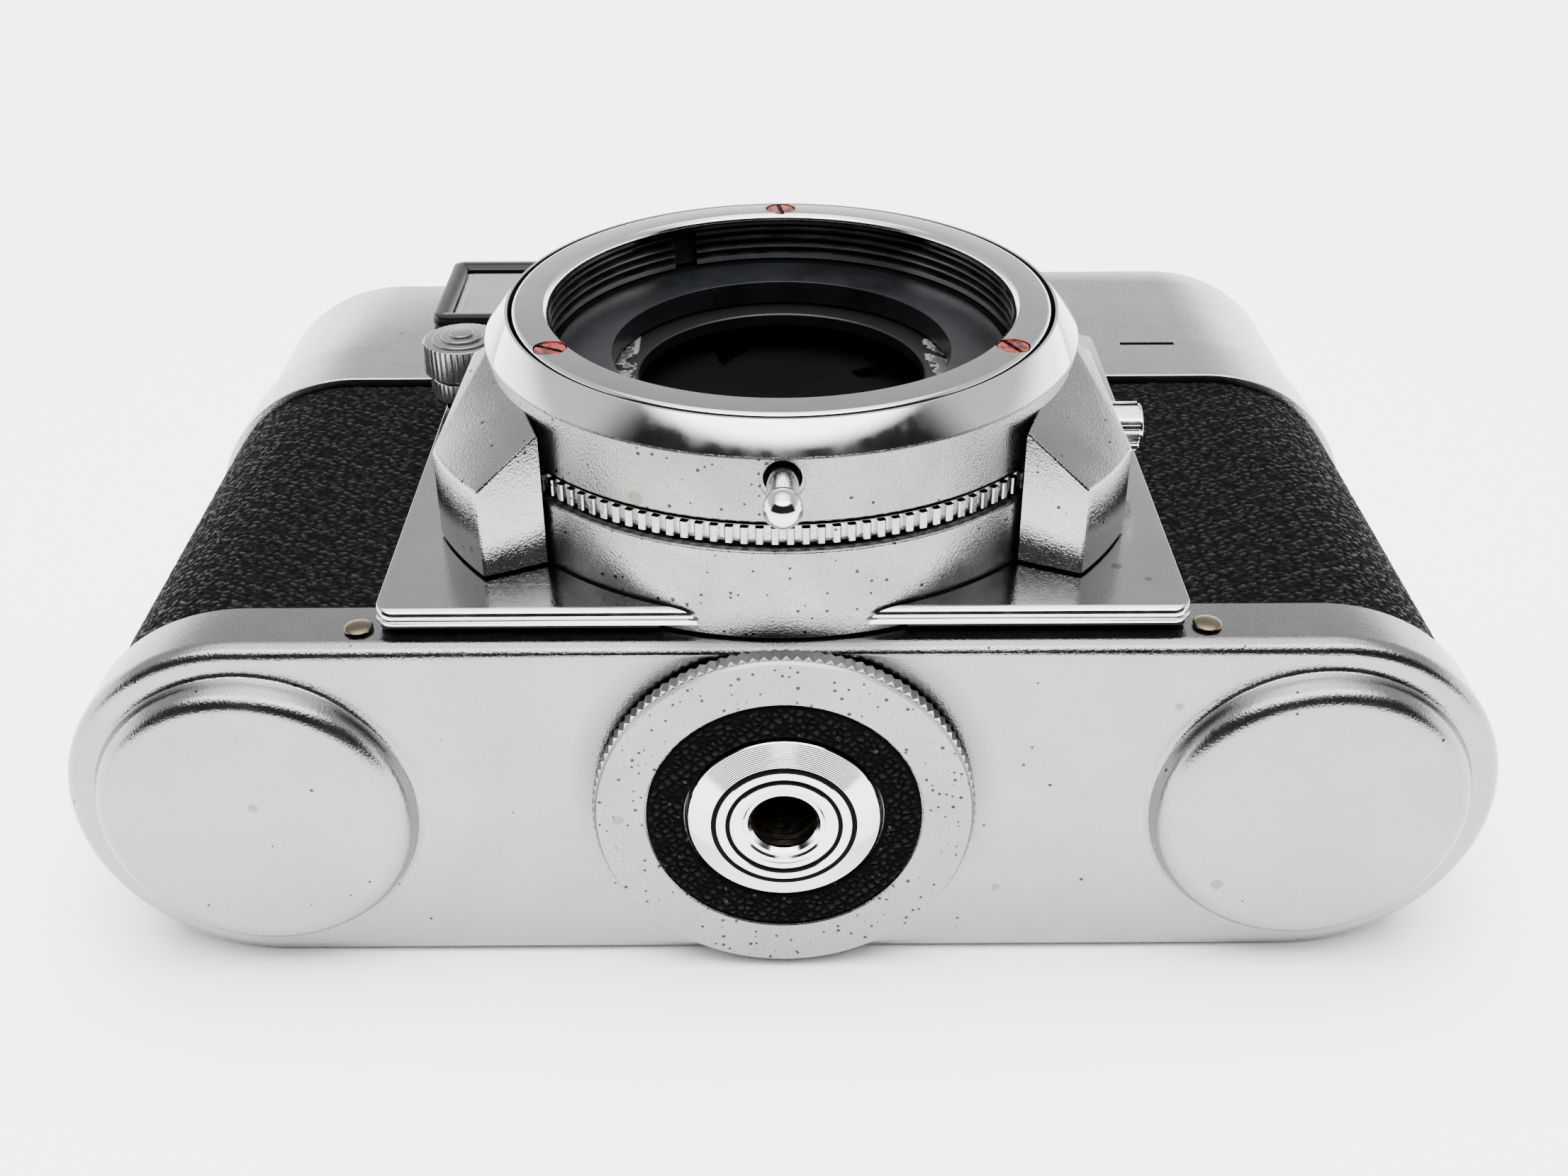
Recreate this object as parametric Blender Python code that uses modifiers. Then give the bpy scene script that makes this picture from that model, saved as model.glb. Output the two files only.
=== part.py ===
"""Body of an interchangeable-lens 35 mm camera, without a lens, lying on its back.

The frame: X runs to the right as the camera faces you, Y runs from the base plate to the top
plate, and Z runs along the lens axis towards the lens. The origin is on the flat of the back,
on the lens axis. All lengths are in metres.
"""
import math

import bmesh
import bpy
from mathutils import Matrix
from mathutils import Vector

# Driving dimensions of the case
BODY_LENGTH = 0.127
BODY_DEPTH = 0.03424
END_RADIUS = BODY_DEPTH / 2
END_CENTRE = BODY_LENGTH / 2 - END_RADIUS
GAP = 0.0003                      # clearance between neighbouring pieces
WALL = 0.0009                     # sheet thickness of the covers
BACK_SPLIT = 0.0087               # height at which the back meets the front of the case

BASE_FACE = -0.02856
BASE_RIM = -0.02196
TOP_RIM = 0.02469
SEAM = 0.0334
LEFT_DECK = 0.05113
RIGHT_DECK = 0.05492
HOUSING_TOP = 0.05584
CAP_SETBACK = 0.0006              # how much shorter the cap is than the band under it, each end
CASTING_TOP = 0.0243
EDGE_ROUND = 0.0012

# Layers, as insets from the outline of the covers
LEATHER_INSET = 0.0006
LEATHER_THICK = 0.0007
CASTING_INSET = LEATHER_INSET + LEATHER_THICK + GAP
BACK_INSET = LEATHER_THICK + GAP

# Front panel and lens mount
PANEL_HALF_WIDTH = 0.03445
PANEL_FRONT = -0.027
PANEL_BACK = 0.0302
PANEL_FACE = 0.03684
PANEL_REST = BODY_DEPTH + GAP
BARREL_RADIUS = 0.02765
BARREL_TOP = 0.0429
SERRATED_RADIUS = 0.0272
SERRATED_LOW = 0.04325
SERRATED_HIGH = 0.0449
HOUSING_RADIUS = 0.02714
HOUSING_LOW = 0.04525
BEVEL_LOW = 0.05125
BEVEL_HIGH = 0.0537
BEVEL_RADIUS = 0.0249
MOUNT_FACE = 0.0539
MOUNT_BORE = 0.0212
MOUNT_SEAT = 0.0493
MOUNT_OUTER = BEVEL_RADIUS - GAP
SCREW_CIRCLE = 0.023
SCREW_HEAD = 0.0014
THROAT_RADIUS = 0.01335
PIN_HEIGHT = 0.0493

RELEASE_PLACE = (-0.0321, 0.01294)
FLANGE_SCREW_X = 0.03605
FLANGE_SCREW_Y = -0.02556

# Finder, and the rewind button on the deck: window corners in X and Y, button in X and Z
FINDER_WINDOW = ((-0.0384, 0.0401), (0.0287, 0.0536))
EYEPIECE_PLACE = (-0.028, 0.0468)
REWIND_BUTTON = (-0.0565, 0.0275)

# Film path: the two film chambers share the centres of the case's round ends
CHAMBER_RADIUS = 0.0132
SPOOL_X = -0.0495
SPROCKET_X = -0.0265
REWIND_X = END_CENTRE
FILM_PLANE = 0.009
GATE_WIDTH = 0.036
GATE_HEIGHT = 0.024

# Shutter
BLADE_COUNT = 5
BLADE_PIVOT = 0.0193
BLADE_INNER = 0.0103
BLADE_OUTER = 0.0213
BLADE_SPAN = math.radians(70)
BLADE_SWING = math.radians(40)
BLADE_THICK = 0.0003
BLADE_STACK = 0.0006
BLADE_FIRST = 0.04135

# Base lock
WHEEL_HEIGHT = 0.0175
WHEEL_RADIUS = 0.01685
WHEEL_FACE = -0.0307
WHEEL_BACK = -0.0291
BUSH_RADIUS = 0.00845
BUSH_FACE = -0.0317
SOCKET_RADIUS = 0.00305

# Gears of the film advance, all three alike
GEAR_TEETH = 24
GEAR_PITCH = (SPROCKET_X - SPOOL_X) / 4
GEAR_LOW = 0.0262
GEAR_HIGH = 0.028

ROUND_STEPS = 32
MOUNT_STEPS = 40
SMALL_STEPS = 12
ARC_STEPS = 12

FINISHES = {
    "satin_chrome": ((0.62, 0.62, 0.63), 0.34, 1.0),
    "polished_chrome": ((0.72, 0.72, 0.73), 0.12, 1.0),
    "leatherette": ((0.016, 0.016, 0.017), 0.62, 0.0),
    "black_enamel": ((0.012, 0.012, 0.013), 0.4, 0.0),
    "cast_alloy": ((0.34, 0.34, 0.35), 0.5, 1.0),
    "red_paint": ((0.66, 0.06, 0.02), 0.45, 0.0),
    "brass": ((0.62, 0.45, 0.17), 0.3, 1.0),
    "spring_steel": ((0.4, 0.4, 0.42), 0.3, 1.0),
    "finder_glass": ((0.42, 0.44, 0.43), 0.12, 0.0),
}


# ---------------------------------------------------------------- tools of the trade

def clear_scene():
    """Remove every object that the open file holds."""
    for old in list(bpy.data.objects):
        bpy.data.objects.remove(old, do_unlink=True)


def new_collection(name):
    collection = bpy.data.collections.new(name)
    bpy.context.scene.collection.children.link(collection)
    return collection


def finish_material(name):
    """A Principled material for one of the finishes."""
    if name in bpy.data.materials:
        return bpy.data.materials[name]
    colour, roughness, metallic = FINISHES[name]
    material = bpy.data.materials.new(name)
    material.use_nodes = True
    shader = material.node_tree.nodes["Principled BSDF"]
    shader.inputs["Base Color"].default_value = (*colour, 1.0)
    shader.inputs["Roughness"].default_value = roughness
    shader.inputs["Metallic"].default_value = metallic
    return material


def add_object(name, mesh):
    piece = bpy.data.objects.new(name, mesh)
    PARTS.objects.link(piece)
    return piece


def give_finish(piece, finish):
    """Hand a finished piece its own copy of a finish."""
    material = finish_material(finish).copy()
    material.name = piece.name
    piece.data.materials.append(material)
    return piece


def box(name, low, high):
    """A block between two corners."""
    mesh = bpy.data.meshes.new(name)
    shape = bmesh.new()
    bmesh.ops.create_cube(shape, size=1.0)
    middle = (Vector(low) + Vector(high)) / 2
    size = Vector(high) - Vector(low)
    bmesh.ops.transform(shape, verts=shape.verts,
                        matrix=Matrix.Translation(middle) @ Matrix.Diagonal((*size, 1.0)))
    shape.to_mesh(mesh)
    shape.free()
    return add_object(name, mesh)


def plate(name, outline, low, high):
    """A flat outline in X and Y, made solid between two heights."""
    curve = bpy.data.curves.new(name, "CURVE")
    curve.dimensions = "2D"
    curve.fill_mode = "BOTH"
    curve.extrude = (high - low) / 2
    spline = curve.splines.new("POLY")
    spline.points.add(len(outline) - 1)
    for point, (x, y) in zip(spline.points, outline):
        point.co = (x, y, 0.0, 1.0)
    spline.use_cyclic_u = True
    guide = add_object(name + "_outline", curve)
    bpy.context.view_layer.update()
    evaluated = guide.evaluated_get(bpy.context.evaluated_depsgraph_get())
    mesh = bpy.data.meshes.new_from_object(evaluated)
    bpy.data.objects.remove(guide, do_unlink=True)
    shape = bmesh.new()
    shape.from_mesh(mesh)
    bmesh.ops.remove_doubles(shape, verts=shape.verts, dist=1e-6)
    bmesh.ops.translate(shape, verts=shape.verts, vec=(0, 0, (low + high) / 2))
    bmesh.ops.recalc_face_normals(shape, faces=shape.faces)
    shape.to_mesh(mesh)
    shape.free()
    mesh.name = name
    return add_object(name, mesh)


def prism(name, outline, low, high):
    """An outline in X and Z, made solid between two stations along Y."""
    piece = plate(name, outline, -high, -low)
    piece.rotation_euler.x = math.radians(90)
    return piece


def turned(name, profile, centre=(0, 0, 0), axis="Z", steps=ROUND_STEPS):
    """A profile of (radius, height) points turned about an axis through the centre."""
    mesh = bpy.data.meshes.new(name)
    edges = [(i, i + 1) for i in range(len(profile) - 1)]
    if profile[0][0] > 0:
        edges.append((len(profile) - 1, 0))
    mesh.from_pydata([(radius, 0, height) for radius, height in profile], edges, [])
    piece = add_object(name, mesh)
    screw = piece.modifiers.new("turn", "SCREW")
    screw.steps = steps
    screw.render_steps = steps
    screw.use_merge_vertices = True
    screw.merge_threshold = 1e-6
    piece.location = centre
    turn = {"X": (0, math.radians(90), 0), "Y": (math.radians(-90), 0, 0), "Z": (0, 0, 0)}
    piece.rotation_euler = turn[axis]
    return piece


def rod(name, radius, low, high, centre=(0, 0, 0), axis="Z", steps=SMALL_STEPS):
    """A plain round bar."""
    profile = [(0, high), (radius, high), (radius, low), (0, low)]
    return turned(name, profile, centre, axis, steps)


def ring(name, inner, outer, low, high, centre=(0, 0, 0), axis="Z", steps=ROUND_STEPS):
    """A plain ring with a square section."""
    profile = [(inner, high), (outer, high), (outer, low), (inner, low)]
    return turned(name, profile, centre, axis, steps)


def combine(piece, other, operation):
    """Cut another shape out of a piece, join it on, or keep what they share."""
    PARTS.objects.unlink(other)
    CUTTERS.objects.link(other)
    other.hide_render = True
    other.display_type = "WIRE"
    boolean = piece.modifiers.new(other.name, "BOOLEAN")
    boolean.operation = operation
    boolean.object = other
    boolean.solver = "EXACT"
    return piece


def cut(piece, *others):
    for other in others:
        combine(piece, other, "DIFFERENCE")
    return piece


def join(piece, *others):
    for other in others:
        combine(piece, other, "UNION")
    return piece


def soften(piece, width, keep, segments=2):
    """Round the edges whose two ends both pass a test on their place."""
    shape = bmesh.new()
    shape.from_mesh(piece.data)
    edges = [edge for edge in shape.edges
             if all(keep(vertex.co) for vertex in edge.verts)
             and len(edge.link_faces) == 2 and edge.calc_face_angle() > math.radians(40)]
    bmesh.ops.bevel(shape, geom=edges, offset=width, segments=segments, profile=0.5,
                    affect="EDGES", clamp_overlap=True)
    shape.to_mesh(piece.data)
    shape.free()
    return piece


def arc(centre, radius, start, end, steps):
    """Points along an arc, in degrees, both ends included."""
    points = []
    for i in range(steps + 1):
        angle = math.radians(start + (end - start) * i / steps)
        points.append((centre[0] + radius * math.cos(angle),
                       centre[1] + radius * math.sin(angle)))
    return points


def stadium(inset, setback=0.0):
    """The case's outline in X and Z: two straight sides and two half-round ends."""
    radius = END_RADIUS - inset
    centre = END_CENTRE - setback
    right = arc((centre, END_RADIUS), radius, -90, 90, ARC_STEPS)
    left = arc((-centre, END_RADIUS), radius, 90, 270, ARC_STEPS)
    return right + left


def rounded_rectangle(low, high, radius, steps=4):
    """A rectangle with round corners, as an outline."""
    x0, y0 = low
    x1, y1 = high
    return (arc((x1 - radius, y0 + radius), radius, -90, 0, steps)
            + arc((x1 - radius, y1 - radius), radius, 0, 90, steps)
            + arc((x0 + radius, y1 - radius), radius, 90, 180, steps)
            + arc((x0 + radius, y0 + radius), radius, 180, 270, steps))


# ---------------------------------------------------------------- case

REACH = 0.1                       # longer than any part, for cutters


def shell(name, outer, inner, low, high):
    """A tube that follows the case's outline between two insets."""
    piece = prism(name, stadium(outer), low, high)
    return cut(piece, prism(name + "_core", stadium(inner), low - REACH, high + REACH))


def body_casting():
    """Die-cast frame with two film chambers, a sprocket bay and the light tunnel."""
    piece = prism("body_casting", stadium(CASTING_INSET), BASE_RIM + GAP, CASTING_TOP)
    pad = box("casting_pad", (-0.033, -0.0213, 0.03), (0.033, 0.0238, BODY_DEPTH - GAP / 3))
    join(piece, pad)
    chamber_end = CASTING_TOP - 0.002
    low = BASE_RIM - 0.001
    cut(piece, box("casting_rear", (-REACH, -REACH, -0.01), (REACH, REACH, FILM_PLANE)))
    for side, x in (("left", -END_CENTRE), ("right", END_CENTRE)):
        cut(piece,
            rod("chamber_" + side, CHAMBER_RADIUS, low, chamber_end,
                (x, 0, END_RADIUS), "Y", ROUND_STEPS),
            box("chamber_mouth_" + side, (x - CHAMBER_RADIUS, low, -0.01),
                (x + CHAMBER_RADIUS, chamber_end, END_RADIUS)))
    bay = 0.0069
    cut(piece,
        rod("sprocket_bay", bay, low, chamber_end, (SPROCKET_X, 0, END_RADIUS), "Y"),
        box("sprocket_mouth", (SPROCKET_X - bay, low, -0.01),
            (SPROCKET_X + bay, chamber_end, END_RADIUS)),
        box("light_tunnel", (-0.0184, -0.0124, -0.01), (0.0184, 0.0124, REACH)),
        box("gate_seat", (-0.0194, -0.0173, -0.01), (0.0293, 0.0173, FILM_PLANE + 0.0017)))
    for name, x, radius in (("spool", SPOOL_X, 0.0024), ("sprocket", SPROCKET_X, 0.0024),
                            ("rewind", REWIND_X, 0.0026)):
        cut(piece, rod("casting_hole_" + name, radius, 0.0, REACH, (x, 0, END_RADIUS), "Y"))
    cut(piece, rod("casting_release_hole", 0.0022, 0.031, REACH, (*RELEASE_PLACE, 0)))
    return give_finish(piece, "cast_alloy")


def leathers():
    """Grained covering on the front, one piece each side of the front panel."""
    edge = PANEL_HALF_WIDTH + GAP
    for name, side in (("leather_left", -1), ("leather_right", 1)):
        piece = shell(name, LEATHER_INSET, LEATHER_INSET + LEATHER_THICK,
                      BASE_RIM + GAP, TOP_RIM - GAP)
        far = -side * REACH
        near = side * edge
        cut(piece,
            box(name + "_rear", (-REACH, -REACH, -0.01), (REACH, REACH, BACK_SPLIT + GAP)),
            box(name + "_other_half", (min(far, near), -REACH, -0.01),
                (max(far, near), REACH, REACH)))
        give_finish(piece, "leatherette")


def front_panel():
    """Chromed plate that carries the lens mount; the barrel breaks through its lower edge."""
    outline = rounded_rectangle((-PANEL_HALF_WIDTH, PANEL_FRONT), (PANEL_HALF_WIDTH, PANEL_BACK),
                                0.0017)
    piece = plate("front_panel", outline, PANEL_REST, PANEL_FACE)
    soften(piece, 0.0009, lambda place: place.z > PANEL_FACE - 1e-6)
    cut(piece,
        rod("panel_opening", BARREL_RADIUS + 0.0004, 0.0, REACH, steps=ROUND_STEPS),
        rod("panel_release_hole", 0.0022, 0.0, REACH, (*RELEASE_PLACE, 0)))
    give_finish(piece, "satin_chrome")


def top_cover():
    """Pressed cover: a lower band, a cap that is a little shorter, and two raised decks."""
    right = arc((END_CENTRE - CAP_SETBACK, END_RADIUS), END_RADIUS, -90, 90, ARC_STEPS)
    inner_right = arc((END_CENTRE - CAP_SETBACK, END_RADIUS), END_RADIUS - WALL, -90, 90,
                      ARC_STEPS)
    piece = prism("top_cover", stadium(0), TOP_RIM, SEAM)
    join(piece,
         prism("cover_cap", stadium(0, CAP_SETBACK), SEAM - 0.002, LEFT_DECK),
         prism("cover_right_deck", right + [(0.02, BODY_DEPTH), (0.02, 0)],
               LEFT_DECK - 0.002, RIGHT_DECK),
         box("cover_finder_housing", (-0.04, LEFT_DECK - 0.002, 0.0006),
             (0.0305, HOUSING_TOP, BODY_DEPTH - 0.0001)))
    inner_right += [(0.02, BODY_DEPTH - WALL), (0.02, WALL)]
    window = FINDER_WINDOW
    cut(piece,
        prism("cover_hollow", stadium(WALL, CAP_SETBACK), TOP_RIM - 0.01, LEFT_DECK - WALL),
        prism("cover_deck_hollow", inner_right, 0.04, RIGHT_DECK - WALL),
        box("cover_finder_hollow", (-0.0391, 0.04, WALL + 0.0006),
            (0.0296, HOUSING_TOP - WALL, BODY_DEPTH - WALL - 0.0001)),
        box("cover_window", (window[0][0] + 0.001, window[0][1] + 0.001, 0.02),
            (window[1][0] - 0.001, window[1][1] - 0.001, REACH)),
        box("cover_slot", (0.0384, 0.0325, BODY_DEPTH - 0.002), (0.0445, 0.0336, REACH)),
        rod("cover_eyepiece_hole", 0.0051, -0.01, 0.01, (*EYEPIECE_PLACE, 0)))
    for name, x, radius in (("spool", SPOOL_X, 0.0024), ("rewind", REWIND_X, 0.0026)):
        cut(piece, rod("cover_hole_" + name, radius, 0.045, REACH, (x, 0, END_RADIUS), "Y"))
    cut(piece, rod("cover_button_hole", 0.0014, 0.045, REACH,
                   (REWIND_BUTTON[0], 0, REWIND_BUTTON[1]), "Y"))
    give_finish(piece, "satin_chrome")


def finder():
    """Black window frame, its glass, and the eyepiece at the rear."""
    low, high = FINDER_WINDOW
    bezel = plate("finder_bezel", rounded_rectangle((-0.0403, 0.03824), (0.0307, 0.05614), 0.0014),
                  BODY_DEPTH + GAP, 0.0356)
    cut(bezel, plate("bezel_opening", rounded_rectangle(low, high, 0.0008), 0.0, REACH))
    give_finish(bezel, "black_enamel")
    glass_low = (low[0] + GAP, low[1] + GAP)
    glass_high = (high[0] - GAP, high[1] - GAP)
    give_finish(plate("finder_window", rounded_rectangle(glass_low, glass_high, 0.0006),
                      BODY_DEPTH + GAP, 0.0351), "finder_glass")
    centre = (*EYEPIECE_PLACE, 0)
    give_finish(ring("eyepiece_ring", 0.0032, 0.0048, 0.0002, 0.0018, centre, steps=SMALL_STEPS * 2),
                "black_enamel")
    give_finish(rod("eyepiece_glass", 0.0029, 0.0006, 0.0013, centre, steps=SMALL_STEPS * 2), "finder_glass")


def accessory_shoe():
    """Folded plate whose two lips hold an accessory's foot."""
    low = HOUSING_TOP + GAP
    half_width = 0.0107
    piece = box("accessory_shoe", (-half_width, low, 0.007), (half_width, low + 0.0032, 0.0275))
    cut(piece,
        box("shoe_slot", (-0.0094, low + 0.0009, 0.006), (0.0094, low + 0.0024, 0.0266)),
        box("shoe_throat", (-0.0064, low + 0.0015, 0.006), (0.0064, low + 0.01, 0.0266)))
    give_finish(piece, "satin_chrome")


# ---------------------------------------------------------------- lens mount

def lower_barrel():
    """Frosted drum under the serrated ring."""
    give_finish(ring("lower_barrel", 0.0224, BARREL_RADIUS, PANEL_REST, BARREL_TOP),
                "satin_chrome")


def horn_outline(side):
    """Plan of one shoulder of the mount, between the barrel and the leather."""
    outline = [(0.0205, -0.0193), (0.0255, -0.02166)]
    outline += arc((0, 0), 0.0336, -40, -24.6, 4)
    outline += [(0.0277, -0.0051), (0.0258, -0.0051)]
    if side < 0:
        outline = [(-x, y) for x, y in reversed(outline)]
    return outline


def horn(name, side):
    """One shoulder, with its top sloping down and outwards from the barrel."""
    piece = plate(name, horn_outline(side), PANEL_FACE + GAP, 0.052)
    slope_low = Vector((side * 0.0255, -0.0217, 0.0454))
    slope_out = Vector((side * 0.0312, -0.013, 0.0453))
    slope_high = Vector((side * 0.0203, -0.018, 0.05015))
    normal = (slope_out - slope_low).cross(slope_high - slope_low)
    if normal.z < 0:
        normal.negate()
    shape = bmesh.new()
    shape.from_mesh(piece.data)
    geometry = shape.verts[:] + shape.edges[:] + shape.faces[:]
    result = bmesh.ops.bisect_plane(shape, geom=geometry, plane_co=slope_low, plane_no=normal,
                                    clear_outer=True)
    rim = [item for item in result["geom_cut"] if isinstance(item, bmesh.types.BMEdge)]
    bmesh.ops.contextual_create(shape, geom=rim)
    bmesh.ops.recalc_face_normals(shape, faces=shape.faces)
    shape.to_mesh(piece.data)
    shape.free()
    return piece


def mount_housing():
    """Upper barrel with its polished bevel and the two shoulders, one casting."""
    profile = [(BEVEL_RADIUS, BEVEL_HIGH), (HOUSING_RADIUS, BEVEL_LOW),
               (HOUSING_RADIUS, HOUSING_LOW), (MOUNT_BORE + 0.0001, HOUSING_LOW),
               (MOUNT_BORE + 0.0001, MOUNT_SEAT - GAP), (BEVEL_RADIUS, MOUNT_SEAT - GAP)]
    piece = turned("mount_housing", profile, steps=MOUNT_STEPS)
    for name, side in (("horn_left", -1), ("horn_right", 1)):
        join(piece, horn(name, side))
    ring_slot = ring("housing_ring_slot", 0.0215, 0.0281, 0.03, HOUSING_LOW, steps=MOUNT_STEPS)
    core = rod("housing_core", MOUNT_BORE + 0.0001, 0.03, REACH, steps=MOUNT_STEPS)
    pin_hole = rod("housing_pin_hole", 0.0016, -REACH, -0.015, (0, 0, PIN_HEIGHT), "Y")
    cut(piece, ring_slot, core, pin_hole)
    for number, (x, y) in enumerate(mount_screw_places(), 1):
        cut(piece, rod(f"housing_thread_{number}", 0.0009, 0.0465, 0.0495, (x, y, 0)))
    give_finish(piece, "satin_chrome")


def mount_screw_places():
    """The three screws stand a third of a turn apart, one of them at the top."""
    return [(SCREW_CIRCLE * math.cos(math.radians(angle)),
             SCREW_CIRCLE * math.sin(math.radians(angle))) for angle in (90, 210, 330)]


def mount_ring():
    """Flat ring that the lens seats on, with its three slotted screws."""
    piece = ring("mount_ring", MOUNT_BORE, MOUNT_OUTER, MOUNT_SEAT, MOUNT_FACE, steps=MOUNT_STEPS)
    head_seat = MOUNT_FACE - 0.0011
    cut(piece, rod("mount_pin_hole", 0.0016, -REACH, -0.015, (0, 0, PIN_HEIGHT), "Y"))
    for number, (x, y) in enumerate(mount_screw_places(), 1):
        cut(piece,
            rod(f"mount_countersink_{number}", SCREW_HEAD + 0.0001, head_seat, REACH, (x, y, 0)),
            rod(f"mount_screw_hole_{number}", 0.0009, 0.0, REACH, (x, y, 0)))
        shank = 0.0006
        profile = [(0, MOUNT_FACE - 0.0001), (SCREW_HEAD, MOUNT_FACE - 0.0001),
                   (SCREW_HEAD, head_seat + GAP / 3), (shank, head_seat + GAP / 3),
                   (shank, 0.047), (0, 0.047)]
        screw = turned(f"mount_screw_{number}", profile, (x, y, 0), steps=SMALL_STEPS)
        cut(screw, box(f"mount_screw_slot_{number}", (x - 0.0003, y - 0.002, MOUNT_FACE - 0.0005),
                       (x + 0.0003, y + 0.002, REACH)))
        give_finish(screw, "red_paint")
    give_finish(piece, "satin_chrome")


def mount_inside():
    """Blackened flange and throat under the mount."""
    give_finish(ring("flange_plate", 0.0157, 0.0209, 0.0467, 0.0489), "black_enamel")
    give_finish(ring("throat_ring", THROAT_RADIUS, 0.0209, 0.0452, 0.0464), "black_enamel")


def serrated_ring():
    """Setting ring that shows between the shoulders."""
    give_finish(ring("serrated_ring", 0.0225, SERRATED_RADIUS, SERRATED_LOW, SERRATED_HIGH,
                     steps=MOUNT_STEPS), "satin_chrome")


def lock_pin():
    """Ball-ended pin that locks the lens; it pushes in towards the lens axis."""
    shaft = 0.0013
    ball = 0.00165
    ball_centre = 0.03176
    neck = ball_centre - math.sqrt(ball ** 2 - shaft ** 2)
    dome = [(ball * math.cos(math.radians(angle)), ball_centre + ball * math.sin(math.radians(angle)))
            for angle in (67, 45, 22, 0, -22)]
    profile = [(0, ball_centre + ball)] + dome + [(shaft, neck), (shaft, 0.0237), (0, 0.0237)]
    piece = turned("lock_pin", profile, (0, 0, PIN_HEIGHT), steps=SMALL_STEPS)
    piece.rotation_euler = (math.radians(90), 0, 0)
    give_finish(piece, "polished_chrome")


def side_fittings():
    """Flash socket on the right of the barrel, and the brass stud beside it."""
    profile = [(0, 0.0302), (0.0012, 0.0302), (0.0012, 0.0334), (0.0023, 0.0334),
               (0.0023, 0.0294), (0.0019, 0.0292), (0.0019, 0.0281), (0, 0.0281)]
    socket = turned("sync_socket", profile, (0, -0.0032, 0.042), "X", SMALL_STEPS)
    give_finish(socket, "satin_chrome")
    give_finish(rod("contact_stud", 0.0015, 0.0277, 0.0296, (0, 0.0005, 0.0449), "X"), "brass")


def release():
    """Stepped release cap on its stem, and the knurled collar under it."""
    cap, step = 0.004, 0.00025
    stem = 0.0018
    profile = [(0, 0.0448), (0.0012, 0.0448), (0.0012, 0.0448 - step), (0.0021, 0.0448 - step),
               (0.0021, 0.0448 - 2 * step), (0.003, 0.0448 - 2 * step), (0.003, 0.0441),
               (cap - 0.0002, 0.0441), (cap, 0.0439), (cap, 0.0408), (stem, 0.0408),
               (stem, 0.0325), (0, 0.0325)]
    give_finish(turned("release_cap", profile, (*RELEASE_PLACE, 0), steps=SMALL_STEPS * 2), "satin_chrome")
    give_finish(ring("release_collar", stem + GAP, 0.0035, 0.0383, 0.0403, (*RELEASE_PLACE, 0),
                     steps=SMALL_STEPS * 2), "satin_chrome")


# ---------------------------------------------------------------- shutter and film transport

def shutter_housing():
    """Drum with the light bore and the well that the blades lie in."""
    well = BLADE_FIRST - GAP
    profile = [(0.0216, 0.0449), (0.0221, 0.0449), (0.0221, PANEL_REST), (0.0105, PANEL_REST),
               (0.0105, well), (0.0216, well)]
    give_finish(turned("shutter_housing", profile), "black_enamel")


def blade_outline():
    """One blade round its own pivot: a crescent that closes by turning inwards."""
    crescent = (arc((0, 0), BLADE_OUTER, 0, math.degrees(BLADE_SPAN), 6)
                + arc((0, 0), BLADE_INNER, math.degrees(BLADE_SPAN), 0, 6))
    turn = Matrix.Rotation(BLADE_SWING, 2)
    return [tuple(turn @ Vector((x - BLADE_PIVOT, y))) for x, y in crescent]


def shutter_blades():
    """Five thin blades, stacked, each on a pivot at the rim of the well."""
    for number in range(BLADE_COUNT):
        angle = 2 * math.pi * number / BLADE_COUNT
        low = BLADE_FIRST + number * BLADE_STACK
        piece = plate(f"shutter_blade_{number + 1}", blade_outline(), low, low + BLADE_THICK)
        piece.location = (BLADE_PIVOT * math.cos(angle), BLADE_PIVOT * math.sin(angle), 0)
        piece.rotation_euler = (0, 0, angle)
        give_finish(piece, "spring_steel")


def film_gate():
    """Polished frame that the film slides over."""
    piece = box("film_gate", (-0.0191, -0.017, FILM_PLANE + GAP), (0.029, 0.017, 0.0104))
    cut(piece, box("gate_opening", (-GATE_WIDTH / 2, -GATE_HEIGHT / 2, -0.01),
                   (GATE_WIDTH / 2, GATE_HEIGHT / 2, REACH)))
    give_finish(piece, "black_enamel")


def gear_outline(phase):
    """A small spur gear's outline with straight-sided teeth."""
    tip = GEAR_PITCH + 0.00038
    root = GEAR_PITCH - 0.0006
    points = []
    pitch = 2 * math.pi / GEAR_TEETH
    for tooth in range(GEAR_TEETH):
        middle = (tooth + phase) * pitch
        for radius, share in ((root, -0.3), (tip, -0.1), (tip, 0.1), (root, 0.3)):
            angle = middle + share * pitch
            points.append((radius * math.cos(angle), radius * math.sin(angle)))
    return points


def gear(name, x, phase):
    piece = plate(name, gear_outline(phase), -GEAR_HIGH, -GEAR_LOW)
    piece.rotation_euler.x = math.radians(90)
    piece.location = (x, 0, END_RADIUS)
    cut(piece, rod(name + "_bore", 0.0023, 0.0, REACH, (x, 0, END_RADIUS), "Y"))
    give_finish(piece, "brass")


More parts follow.
